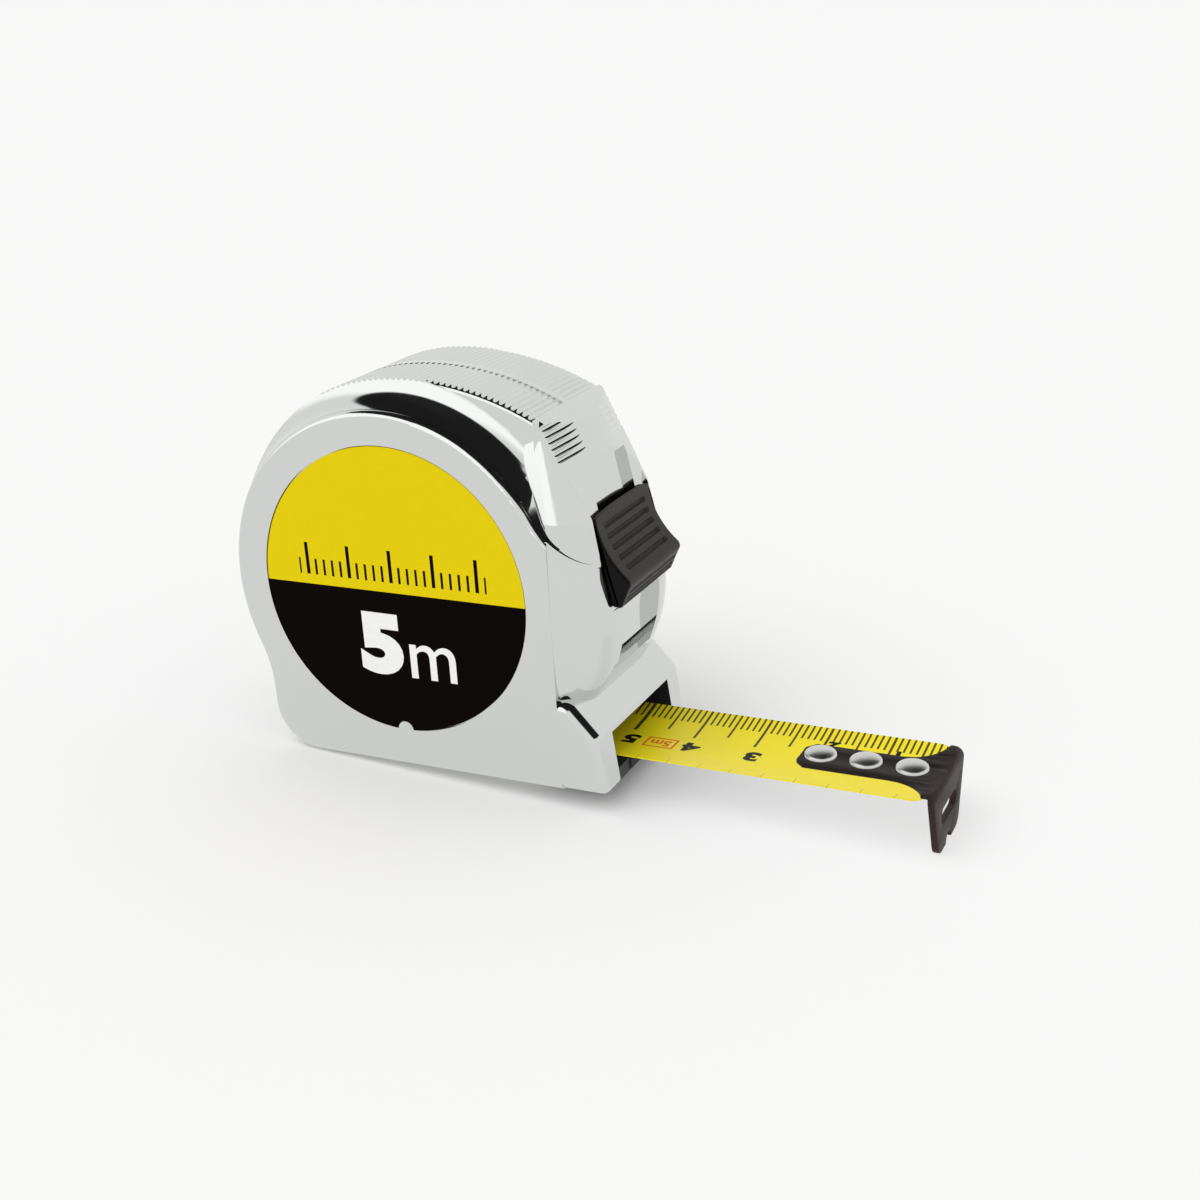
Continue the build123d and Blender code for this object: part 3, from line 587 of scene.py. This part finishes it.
@dataclass(frozen=True)
class Finishes:
    """All materials of the tape measure, built once."""

    chrome: Material
    label: Material
    steel: Material
    rivet: Material
    black: Material
    insert: Material
    lock: Material
    rubber: Material
    reel: Material
    printed_blade: Material
    bare_blade: Material
    hook: Material
    black_ink: Material
    red_ink: Material
    white_ink: Material


def make_finishes() -> Finishes:
    """Build every material of the tape measure."""
    nickel = BareSteel(
        "rivet_nickel", (0.78, 0.78, 0.75), 0.36, line_size=1.2, stretch=(1, 1, 1), line_depth=0.002
    )
    coarse = MouldedPlastic(
        "insert_plastic", (0.012, 0.011, 0.012), 0.6, grain_size=0.5, grain_depth=0.06, speckle=0.8
    )
    return Finishes(
        chrome=ChromePlate().material(),
        label=LabelFilm().material(),
        steel=BareSteel("spring_steel", (0.58, 0.58, 0.59), 0.28).material(),
        rivet=nickel.material(),
        black=MouldedPlastic("black_plastic", (0.012, 0.012, 0.012), 0.5).material(),
        insert=coarse.material(),
        lock=GripPlastic().material(),
        rubber=MouldedPlastic("bumper_rubber", (0.015, 0.015, 0.015), 0.8).material(),
        reel=MouldedPlastic("reel_plastic", (0.1, 0.1, 0.1), 0.55).material(),
        printed_blade=BladeLacquer().material(True),
        bare_blade=BladeLacquer().material(False),
        hook=HookOxide().material(),
        black_ink=PlainInk("black_ink", (0.012, 0.010, 0.004)).material(),
        red_ink=PlainInk("red_ink", (0.72, 0.07, 0.012)).material(),
        white_ink=PlainInk("white_ink", (0.86, 0.86, 0.85)).material(),
    )


def grid_faces(rows: int, columns: int, closed_rows: bool = False) -> np.ndarray:
    """Quads of a grid of points stored row by row, where the end of each row joins its start.

    Args:
        rows: number of rows of points.
        columns: number of points in a row.
        closed_rows: whether the last row joins the first.

    Returns:
        Array of four point numbers for each quad.
    """
    i, j = np.meshgrid(np.arange(rows if closed_rows else rows - 1), np.arange(columns), indexing="ij")
    here = i.ravel() * columns
    below = (i.ravel() + 1) % rows * columns
    left = j.ravel()
    right = (left + 1) % columns
    return np.stack([here + left, here + right, below + right, below + left], axis=1)


def linked(name: str, data: bpy.types.ID) -> Piece:
    """A new object for a mesh, camera or lamp, linked to the scene."""
    piece = bpy.data.objects.new(name, data)
    bpy.context.scene.collection.objects.link(piece)
    return piece


def add_piece(
    name: str,
    points: np.ndarray,
    faces: list,
    material: Material,
    body: Body,
    replaced: str = "",
    smooth: bool = True,
) -> Piece:
    """Make a mesh object that rides on a body.

    Args:
        name: the piece's name.
        points: array of points in millimetres.
        faces: faces as lists of point numbers.
        material: its finish.
        body: the body that it rides on.
        replaced: CAD node that it stands for, if any.
        smooth: whether its faces are shaded smooth.

    Returns:
        The new object.
    """
    mesh = bpy.data.meshes.new(name)
    mesh.from_pydata((points * MM).tolist(), [], faces)
    mesh.polygons.foreach_set("use_smooth", np.full(len(mesh.polygons), smooth))
    mesh.materials.append(material)
    mesh.update()
    piece = linked(name, mesh)
    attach(piece, body.value)
    if replaced:
        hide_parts(replaced)
    LOG.info("%s: %d points, rides on %s", name, len(points), body.value)
    return piece


def merged_copy(node: Piece, name: str, material: Material) -> Piece:
    """Copy of a CAD node with its doubled points merged, shaded smooth and given one material.

    Args:
        node: the CAD node.
        name: name of the copy.
        material: its finish.

    Returns:
        The copy, linked to the scene.
    """
    mesh = node.data.copy()
    mesh.name = name
    loose = bmesh.new()
    loose.from_mesh(mesh)
    bmesh.ops.remove_doubles(loose, verts=loose.verts, dist=MERGE_DISTANCE * MM)
    loose.to_mesh(mesh)
    loose.free()
    mesh.polygons.foreach_set("use_smooth", np.ones(len(mesh.polygons), bool))
    mesh.materials.clear()
    mesh.materials.append(material)
    piece = linked(name, mesh)
    LOG.info("%s: %d points, copied from %s", name, len(mesh.vertices), node.name)
    return piece


def coat_nodes(nodes: Nodes, coats: dict[str, Material]) -> None:
    """Put one material on each named CAD node."""
    for name, material in coats.items():
        slots = nodes[name].data.materials
        slots.clear()
        slots.append(material)
        LOG.info("%s: CAD node, coated with %s", name, material.name)


def keep_unmirrored(pieces: list[Piece]) -> None:
    """Keep pieces out of the mirror images in the chrome and out of the light thrown back on the floor."""
    for piece in pieces:
        piece.visible_glossy = False
        piece.visible_diffuse = False
        LOG.info("%s: seen directly, and not in reflections", piece.name)


def glyphs(text: str, height: float, heavy: float) -> Mesh:
    """Flat lettering as a thin closed mesh, centred on the origin in X and Y.

    Args:
        text: what it says.
        height: height of its tallest character in millimetres.
        heavy: how far its outlines are moved outwards, as a share of the type size.

    Returns:
        Points in millimetres and faces.
    """
    curve = bpy.data.curves.new("lettering", "FONT")
    curve.body = text
    curve.offset = heavy
    curve.resolution_u = LETTER_STEPS
    curve.extrude = INK_HALF
    holder = bpy.data.objects.new("lettering", curve)
    mesh = bpy.data.meshes.new_from_object(holder)
    points = np.empty(len(mesh.vertices) * 3)
    mesh.vertices.foreach_get("co", points)
    points = points.reshape(-1, 3)
    faces = [list(face.vertices) for face in mesh.polygons]
    bpy.data.objects.remove(holder)
    bpy.data.curves.remove(curve)
    bpy.data.meshes.remove(mesh)
    low, high = points.min(0), points.max(0)
    scale = height / (high[1] - low[1])
    points[:, :2] = (points[:, :2] - (low[:2] + high[:2]) / 2) * scale
    return points, faces


def merge(parts: list[Mesh]) -> Mesh:
    """Several meshes as one, with the point numbers of each moved past those before it."""
    points, faces, start = [], [], 0
    for part_points, part_faces in parts:
        points.append(part_points)
        faces += [[start + number for number in face] for face in part_faces]
        start += len(part_points)
    return np.concatenate(points), faces


@dataclass(frozen=True)
class Lettering:
    """A word on the label: its text, height, weight, stretch in width, and X and Z of its middle."""

    text: str
    height: float
    weight: float
    stretch: float
    place: Point


@dataclass
class Case:
    """Chrome case with its labels, screws, belt clip and mouth insert."""

    label_y: float = -15.5
    size_number: Lettering = Lettering("5", height=10.3, weight=0.06, stretch=1.2, place=(-3.0, 20.3))
    size_unit: Lettering = Lettering("m", height=5.7, weight=0.004, stretch=1.0, place=(6.1, 18.1))
    run_start_x: float = 1.0
    run_kept: float = 0.02

    def dress(self, nodes: Nodes, finishes: Finishes) -> None:
        """Give the case's CAD nodes their finishes."""
        coats = {
            "case_left": finishes.chrome,
            "case_right": finishes.chrome,
            "label_left": finishes.label,
            "label_right": finishes.label,
            "case_screws": finishes.steel,
            "center_post": finishes.steel,
            "mouth_insert": finishes.insert,
            "hook_bumper": finishes.rubber,
            "belt_clip": finishes.steel,
            "clip_screw": finishes.steel,
        }
        coat_nodes(nodes, coats)

    def run(self, nodes: Nodes, finishes: Finishes) -> Piece:
        """Run of the blade inside the case: a copy of its CAD node that rides on the case and has a mesh of
        its own.
        """
        piece = merged_copy(nodes["blade_run"], "blade_run_strip", finishes.bare_blade)
        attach(piece, Body.CASE.value)
        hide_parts("blade_run")
        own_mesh(piece)
        return piece

    def print_size_mark(self, finishes: Finishes) -> Piece:
        """Length of the tape in white on the black part of the label: a heavy number and a light unit."""
        parts = []
        for word in (self.size_number, self.size_unit):
            points, faces = glyphs(word.text, word.height, word.weight)
            upright = points[:, [0, 2, 1]] * (word.stretch, -1, 1)
            parts.append((upright + (word.place[0], self.label_y, word.place[1]), faces))
        points, faces = merge(parts)
        ink = finishes.white_ink
        return add_piece("label_size_mark", points, faces, ink, Body.CASE, smooth=False)


@dataclass
class Blade:
    """Printed front end of the blade, its numbers and its rivets."""

    half_width: float = 9.5
    edge_z: float = 4.4
    cup: float = 0.9
    zero_x: float = 81.7
    numbers: int = 5
    number_pitch: float = 10.0
    number_y: float = -2.2
    number_height: float = 3.3
    number_ahead: float = 0.85
    number_weight: float = 0.05
    number_stretch: float = 1.25
    raised: int = 2
    raised_y: float = 4.9
    raised_height: float = 2.2
    raised_ahead: float = 1.4
    mark_text: str = "5m"
    mark_at: float = 45.0
    mark_height: float = 2.0
    mark_weight: float = 0.02
    mark_half: Point = (2.5, 1.75)
    mark_line: float = 0.28
    rivets_x: Triple = (62.7, 69.7, 76.7)
    rivet_seat_z: float = 4.4
    rivet_r: float = 2.4
    rivet_rim: float = 0.28
    rivet_dome: float = 0.85
    rivet_dome_rows: int = 14
    rivet_sides: int = 48
    rivet_shank_r: float = 1.4
    rivet_foot_z: float = 2.85
    rivet_foot_height: float = 0.4
    rivet_foot_r: float = 2.0

    def dress(self, nodes: Nodes, finishes: Finishes) -> None:
        """Give the blade's CAD node its finish."""
        coat_nodes(nodes, {"blade": finishes.printed_blade})

    def cup_z(self, y: np.ndarray) -> np.ndarray:
        """Height of the blade's upper face: a circular arc through the two edges and the low middle."""
        radius = (self.half_width ** 2 + self.cup ** 2) / (2 * self.cup)
        return self.edge_z - self.cup + radius - np.sqrt(radius ** 2 - y ** 2)

    def on_blade(self, points: np.ndarray, at: float, across: float) -> np.ndarray:
        """Flat lettering laid on the cupped face, read from the far side.

        Args:
            points: the lettering, centred on the origin.
            at: its distance from the zero of the scale.
            across: its place across the blade.

        Returns:
            Points that are turned by half a turn, moved to their place and raised by the cup's height.
        """
        x = self.zero_x - at - points[:, 0]
        y = across - points[:, 1]
        return np.stack([x, y, self.cup_z(y) + points[:, 2]], axis=1)

    def print_numbers(self, finishes: Finishes) -> Piece:
        """Centimetre numbers in black; the first ones are small and stand beside the hook's strap."""
        parts = []
        for number in range(1, self.numbers + 1):
            across, height, ahead = self.number_y, self.number_height, self.number_ahead
            if number <= self.raised:
                across, height, ahead = self.raised_y, self.raised_height, self.raised_ahead
            points, faces = glyphs(str(number), height, self.number_weight)
            wide = points * (self.number_stretch, 1, 1)
            parts.append((self.on_blade(wide, self.number_pitch * number - ahead, across), faces))
        points, faces = merge(parts)
        ink = finishes.black_ink
        return add_piece("blade_numbers", points, faces, ink, Body.BLADE, smooth=False)

    def print_mark(self, finishes: Finishes) -> Piece:
        """Length of the tape in red, in a red frame.

        The frame is a strip between two rectangles, each carried round its four corners, with a thin upper
        and lower face.
        """
        corners = np.array([[1, 1], [-1, 1], [-1, -1], [1, -1]], float)
        outer = corners * self.mark_half
        inner = corners * (np.array(self.mark_half) - self.mark_line)
        loops = [(inner, INK_HALF), (outer, INK_HALF), (outer, -INK_HALF), (inner, -INK_HALF)]
        rings = [np.column_stack([flat, np.full(len(flat), lift)]) for flat, lift in loops]
        walls = grid_faces(len(rings), len(corners), closed_rows=True)[:, ::-1].tolist()
        frame = (np.concatenate(rings), walls)
        text = glyphs(self.mark_text, self.mark_height, self.mark_weight)
        at = self.mark_at - self.number_ahead
        parts = [(self.on_blade(points, at, self.number_y), faces) for points, faces in (frame, text)]
        points, faces = merge(parts)
        ink = finishes.red_ink
        return add_piece("blade_length_mark", points, faces, ink, Body.BLADE, smooth=False)

    def rivet_profile(self) -> np.ndarray:
        """Radius and height of a rivet's outline, from the first ring of its dome down to its foot.

        The dome is half an ellipse; a short upright rim, the underside of the head, the shank and the foot
        below the blade follow.
        """
        share = np.linspace(0.0, 1.0, self.rivet_dome_rows)[1:]
        dome_r = self.rivet_r * np.sin(share * np.pi / 2)
        rise = np.sqrt(1 - (dome_r / self.rivet_r) ** 2)
        dome_z = self.rivet_seat_z + self.rivet_rim + self.rivet_dome * rise
        under_z = self.rivet_foot_z + self.rivet_foot_height
        low = [
            (self.rivet_r, self.rivet_seat_z),
            (self.rivet_shank_r, self.rivet_seat_z),
            (self.rivet_shank_r, under_z),
            (self.rivet_foot_r, under_z),
            (self.rivet_foot_r, self.rivet_foot_z),
        ]
        return np.vstack([np.column_stack([dome_r, dome_z]), low])

    def rivets(self, finishes: Finishes) -> Piece:
        """Domed rivets, each one profile turned about its own upright axis."""
        radius, height = self.rivet_profile().T
        count = self.rivet_sides
        turn = np.linspace(0, 2 * np.pi, count, endpoint=False)
        level = np.repeat(height[:, None], count, axis=1)
        rings = np.stack([np.outer(radius, np.cos(turn)), np.outer(radius, np.sin(turn)), level], axis=2)
        top = (0.0, 0.0, self.rivet_seat_z + self.rivet_rim + self.rivet_dome)
        one = np.vstack([rings.reshape(-1, 3), top])
        peak = len(one) - 1
        walls = grid_faces(len(radius), count)[:, ::-1].tolist()
        crown = [[peak, i, (i + 1) % count] for i in range(count)]
        sole = [list(range(peak - count, peak))[::-1]]
        parts = [(one + (x, 0.0, 0.0), walls + crown + sole) for x in self.rivets_x]
        points, faces = merge(parts)
        nickel = finishes.rivet
        return add_piece("rivet_heads", points, faces, nickel, Body.BLADE, "hook_rivets")


@dataclass
class Drum:
    """Reel, winding and spring inside the case."""

    def dress(self, nodes: Nodes, finishes: Finishes) -> None:
        """Give the drum's CAD nodes their finishes."""
        coats = {
            "reel": finishes.reel,
            "reel_cover": finishes.reel,
            "spring_anchor": finishes.steel,
            "blade_winding": finishes.bare_blade,
            "power_spring": finishes.steel,
        }
        coat_nodes(nodes, coats)


@dataclass
class Hook:
    """End hook of stamped steel."""

    edge_r: float = 0.16
    edge_steps: int = 2
    sharp_deg: float = 35.0

    def stamped(self, nodes: Nodes, finishes: Finishes) -> Piece:
        """The hook with rounded edges: the shape of its solid with a bevel on the sharp edges."""
        piece = merged_copy(nodes["end_hook"], "stamped_hook", finishes.hook)
        bevel = piece.modifiers.new("edges", "BEVEL")
        bevel.width = self.edge_r * MM
        bevel.segments = self.edge_steps
        bevel.limit_method = "ANGLE"
        bevel.angle_limit = radians(self.sharp_deg)
        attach(piece, Body.HOOK.value)
        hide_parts("end_hook")
        return piece


def arc_points(start: Point, middle: Point, end: Point, count: int) -> np.ndarray:
    """Points on the circle through three points, evenly spaced from the first to the last.

    The centre solves the two linear equations that put it at the same distance from all three points.
    """
    a, b, c = (np.array(point, float) for point in (start, middle, end))
    rows = np.stack([b - a, c - a])
    centre = np.linalg.solve(2 * rows, [b @ b - a @ a, c @ c - a @ a])
    turn = np.unwrap([np.arctan2(*(point - centre)[::-1]) for point in (a, b, c)])
    angle = np.linspace(turn[0], turn[2], count)
    return centre + np.hypot(*(a - centre)) * np.column_stack([np.cos(angle), np.sin(angle)])


def even_loop(corners: np.ndarray, step: float, soften: int) -> np.ndarray:
    """Closed outline resampled at even steps, with its corners rounded by a running mean.

    Args:
        corners: points of the outline in turn.
        step: distance between the new points.
        soften: number of points in the running mean.

    Returns:
        Points of the rounded outline.
    """
    closed = np.vstack([corners, corners[:1]])
    run = np.concatenate([[0.0], np.cumsum(np.hypot(*np.diff(closed, axis=0).T))])
    at = np.linspace(0.0, run[-1], int(run[-1] / step), endpoint=False)
    even = np.column_stack([np.interp(at, run, closed[:, k]) for k in range(2)])
    shifts = range(-(soften // 2), soften // 2 + 1)
    return np.mean([np.roll(even, shift, axis=0) for shift in shifts], axis=0)


def fillet(past: np.ndarray, radius: float) -> np.ndarray:
    """How far a quarter circle falls away at a distance past its start."""
    within = np.clip(past, 0.0, radius)
    return radius - np.sqrt(radius ** 2 - within ** 2)


@dataclass
class Lock:
    """Thumb lock: a hollowed grip with grooves and a lip, and its inner arm and shoe."""

    half: float = 9.7
    back_low: Point = (34.2, 28.3)
    back_top: Point = (31.4, 42.0)
    crest: Point = (32.1, 42.2)
    hollow: Point = (33.75, 36.7)
    lip_top: Point = (36.8, 32.9)
    lip: Point = (37.2, 32.1)
    lip_low: Point = (36.9, 31.3)
    front_low: Point = (35.5, 28.2)
    grooves: tuple[Point, ...] = ((32.6, 40.0), (33.1, 38.4), (33.75, 36.75), (34.65, 35.2), (35.75, 33.8))
    groove_half: float = 6.9
    groove_r: float = 0.42
    groove_depth: float = 0.5
    notches: tuple[Point, ...] = ((36.55, 30.5), (36.1, 29.5), (35.7, 28.7))
    notch_half: float = 8.2
    notch_r: float = 0.3
    notch_depth: float = 0.25
    end_r: float = 0.6
    shoulder_y: float = 2.6
    shoulder_drop: float = 0.55
    shoulder_from_z: float = 38.0
    corner_r: float = 0.6
    hollow_points: int = 60
    lip_points: int = 20
    outline_step: float = 0.1
    outline_soften: int = 5
    across_step: float = 0.14
    end_rows: int = 6

    def dress(self, nodes: Nodes, finishes: Finishes) -> None:
        """Give the lock's inner CAD nodes their finishes."""
        coat_nodes(nodes, {"lock_arm": finishes.black, "lock_shoe": finishes.black})

    def outline(self) -> np.ndarray:
        """Side view of the grip, clockwise in X and Z: straight back, hollow front and round lip."""
        corners = np.vstack(
            [
                self.back_low,
                self.back_top,
                arc_points(self.crest, self.hollow, self.lip_top, self.hollow_points),
                arc_points(self.lip_top, self.lip, self.lip_low, self.lip_points)[1:],
                self.front_low,
            ]
        )
        return even_loop(corners, self.outline_step, self.outline_soften)

    def places_across(self) -> np.ndarray:
        """Places of the side views across the case, closest together at the two rounded ends."""
        bend = np.sin(np.linspace(0, np.pi / 2, self.end_rows))
        straight = np.arange(0.0, self.half - self.end_r, self.across_step)
        side = np.concatenate([straight, self.half - self.end_r * (1 - bend)])
        return np.concatenate([-side[:0:-1], side])

    def depths(self, loop: np.ndarray, across: np.ndarray) -> np.ndarray:
        """How far each point of the grip is moved in along the side view's normal.

        That is a quarter circle near the two ends, and the depth of a groove where the point is closer to
        the groove's line than the groove's radius.

        Args:
            loop: points of the side view.
            across: places of the side views.

        Returns:
            One row of depths for each place.
        """
        inset = fillet(np.abs(across) - (self.half - self.end_r), self.end_r)
        depth = np.repeat(inset[:, None], len(loop), axis=1)
        cuts = [(point, self.groove_half, self.groove_r, self.groove_depth) for point in self.grooves]
        cuts += [(point, self.notch_half, self.notch_r, self.notch_depth) for point in self.notches]
        for point, half, radius, deep in cuts:
            along = np.hypot(*(loop - point).T)
            beyond = np.clip(np.abs(across) - half, 0.0, None)
            near = np.clip(1 - (along[None, :] ** 2 + beyond[:, None] ** 2) / radius ** 2, 0.0, 1.0)
            depth += deep * np.sqrt(near)
        return depth

    def drops(self, across: np.ndarray) -> np.ndarray:
        """How far the upper end falls at each place: a parabola on both sides, with round corners."""
        share = np.clip((np.abs(across) - self.shoulder_y) / (self.half - self.shoulder_y), 0, 1)
        corner = fillet(np.abs(across) - (self.half - self.corner_r), self.corner_r)
        return self.shoulder_drop * share ** 2 + corner

    def grip(self, finishes: Finishes) -> Piece:
        """Grip as its side view carried across the case, moved in by its depths and lowered by its drops.

        A point drops along the straight back, and the less the lower it is.
        """
        loop, across = self.outline(), self.places_across()
        ahead = np.roll(loop, -1, axis=0) - np.roll(loop, 1, axis=0)
        inward = np.column_stack([ahead[:, 1], -ahead[:, 0]]) / np.hypot(*ahead.T)[:, None]
        flat = loop + self.depths(loop, across)[..., None] * inward
        high = (flat[..., 1] - self.shoulder_from_z) / (self.crest[1] - self.shoulder_from_z)
        drop = self.drops(across)[:, None] * np.clip(high, 0, 1) ** 2
        slope = (self.back_low[0] - self.back_top[0]) / (self.back_top[1] - self.back_low[1])
        y = np.repeat(across[:, None], len(loop), axis=1)
        points = np.stack([flat[..., 0] + slope * drop, y, flat[..., 1] - drop], axis=2).reshape(-1, 3)
        first = list(range(len(loop)))
        last = list(range(len(points) - len(loop), len(points)))
        faces = grid_faces(len(across), len(loop)).tolist() + [first[::-1], last]
        return add_piece("lock_grip", points, faces, finishes.lock, Body.LOCK, "lock_button")


@dataclass
class Studio:
    """Pale floor, soft light and the camera."""

    azimuth: float = 26.55
    elevation: float = 20.54
    roll: float = -3.39
    target: Triple = (27.44, 0.0, 25.28)
    distance: float = 259.43
    lens: float = 50.61
    clip: Point = (0.01, 20.0)
    rear_rest: Point = (-20.0, 0.0)
    front_rest: Point = (81.7, -6.3)
    floor_gap: float = 0.05
    floor_half: float = 3000.0
    floor_colour: Colour = (0.975, 0.975, 0.97)
    floor_dull: float = 0.995
    floor_dull_size: float = 40.0
    floor_roughness: float = 0.9
    floor_gloss: float = 0.1
    floor_glow: float = 0.88
    even_share: float = 0.7
    backdrop: float = 0.945
    light_level: float = 0.74
    mirror_level: float = 0.92
    bright_share: float = 0.45
    bright_front: Point = (0.2, 0.5)
    bright_up: Point = (-0.05, 0.1)
    bright_right: Point = (-0.15, 0.12)
    unlit_share: float = 0.985
    unlit_middle: Point = (0.3, -0.05)
    unlit_reach: Point = (1.0, 0.82)
    unlit_edge: Point = (0.96, 1.05)
    unlit_up: Point = (0.3, 0.37)
    unlit_right: Point = (0.1, 0.45)
    unlit_lift: float = 0.16
    key_level: float = 0.9
    key_spread: float = 50.0
    key_from: Triple = (-0.35, -0.5, 1.0)

    def camera(self) -> None:
        """Camera that looks at the target from an azimuth and elevation, rolled about its own axis."""
        turn, rise, roll = radians(self.azimuth), radians(self.elevation), radians(self.roll)
        back = Vector((sin(turn) * cos(rise), -cos(turn) * cos(rise), sin(rise)))
        right = Vector((cos(turn), sin(turn), 0.0))
        up = back.cross(right)
        across = cos(roll) * right + sin(roll) * up
        upright = cos(roll) * up - sin(roll) * right
        data = bpy.data.cameras.new("camera")
        data.lens = self.lens
        data.clip_start, data.clip_end = self.clip
        camera = linked("camera", data)
        place = (Vector(self.target) + self.distance * back) * MM
        facing = Matrix((across, upright, back)).transposed().to_4x4()
        camera.matrix_world = Matrix.Translation(place) @ facing
        bpy.context.scene.camera = camera

    def floor_material(self) -> Material:
        """Matt pale surface, which glows evenly where the chrome mirrors it."""
        made, paint = new_paint("floor")
        dull = tinted(self.floor_colour, self.floor_dull)
        shade = paint.blend(paint.noise(self.floor_dull_size), self.floor_colour, dull)
        rough, gloss = self.floor_roughness, self.floor_gloss
        looks = {"Base Color": shade, "Roughness": rough, "Specular IOR Level": gloss}
        matt = paint.node("ShaderNodeBsdfPrincipled", None, looks)
        glow = paint.node("ShaderNodeEmission", None, {"Strength": self.floor_glow})
        mirrored = Value(paint, paint.node("ShaderNodeLightPath").outputs["Is Glossy Ray"])
        shaders = {0: mirrored * self.even_share, 1: matt.outputs[0], 2: glow.outputs[0]}
        mixed = paint.node("ShaderNodeMixShader", None, shaders)
        paint.node("ShaderNodeOutputMaterial", None, {"Surface": mixed.outputs[0]})
        return made

    def floor(self) -> None:
        """Flat floor just below the rear foot and the tip of the hook."""
        slope = (self.front_rest[1] - self.rear_rest[1]) / (self.front_rest[0] - self.rear_rest[0])
        x, y = np.meshgrid([-self.floor_half, self.floor_half], [-self.floor_half, self.floor_half])
        z = self.rear_rest[1] + slope * (x - self.rear_rest[0]) - self.floor_gap
        points = np.stack([x.ravel(), y.ravel(), z.ravel()], axis=1) * MM
        mesh = bpy.data.meshes.new("floor")
        mesh.from_pydata(points.tolist(), [], [[0, 1, 3, 2]])
        mesh.materials.append(self.floor_material())
        floor = linked("floor", mesh)

    def world(self) -> None:
        """Pale surroundings whose mirror image is brighter in front on the left, and dark overhead.

        The dark part is an oval seen from above, cut off below a height that rises to the right.
        """
        world = bpy.data.worlds.new("studio")
        world.use_nodes = True
        bpy.context.scene.world = world
        paint = Paint(world.node_tree)
        outward = paint.node("ShaderNodeTexCoord").outputs["Generated"]
        split = paint.node("ShaderNodeSeparateXYZ", None, {0: outward})
        right, back, up = (Value(paint, out) for out in split.outputs)
        path = paint.node("ShaderNodeLightPath")
        seen = Value(paint, path.outputs["Is Camera Ray"])
        mirrored = Value(paint, path.outputs["Is Glossy Ray"])
        aside = (right - self.unlit_middle[0]) / self.unlit_reach[0]
        behind = (back - self.unlit_middle[1]) / self.unlit_reach[1]
        inside = 1.0 - (aside * aside + behind * behind).ease(*self.unlit_edge)
        height = up - self.unlit_lift * right.ease(*self.unlit_right)
        lit = 1.0 - self.unlit_share * (inside * height.ease(*self.unlit_up))
        front = (0.0 - back).ease(*self.bright_front) * up.ease(*self.bright_up)
        bright = front * (1.0 - right.ease(*self.bright_right)) * self.bright_share + 1.0
        level = self.light_level * (1.0 - mirrored) + self.mirror_level * mirrored * bright * lit
        level = level * (1.0 - seen) + self.backdrop * seen
        shader = paint.node("ShaderNodeBackground", None, {"Color": (1.0, 1.0, 1.0), "Strength": level})
        paint.node("ShaderNodeOutputWorld", None, {"Surface": shader.outputs[0]})

    def key_light(self) -> None:
        """Broad distant lamp above, which gives soft shadows and no hard glint."""
        data = bpy.data.lights.new("key", "SUN")
        data.energy = self.key_level
        data.angle = radians(self.key_spread)
        lamp = linked("key", data)
        lamp.matrix_world = Vector(self.key_from).to_track_quat("Z", "Y").to_matrix().to_4x4()
        lamp.visible_glossy = False


def main() -> None:
    """Load the frame, build and dress each sub-assembly, and set up the studio."""
    logging.basicConfig(level=logging.INFO, format="%(name)s: %(message)s")
    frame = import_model()
    nodes = frame["nodes"]
    bpy.context.scene.view_settings.view_transform = "Standard"
    finishes = make_finishes()
    case, blade, lock, drum = Case(), Blade(), Lock(), Drum()
    for part in (case, blade, lock, drum):
        part.dress(nodes, finishes)
    case.print_size_mark(finishes)
    case.run(nodes, finishes)
    unmirrored = [
        nodes["blade"],
        blade.print_numbers(finishes),
        blade.print_mark(finishes),
        blade.rivets(finishes),
        Hook().stamped(nodes, finishes),
    ]
    keep_unmirrored(unmirrored)
    lock.grip(finishes)
    studio = Studio()
    studio.camera()
    studio.floor()
    studio.world()
    studio.key_light()


if __name__ == "__main__":
    main()
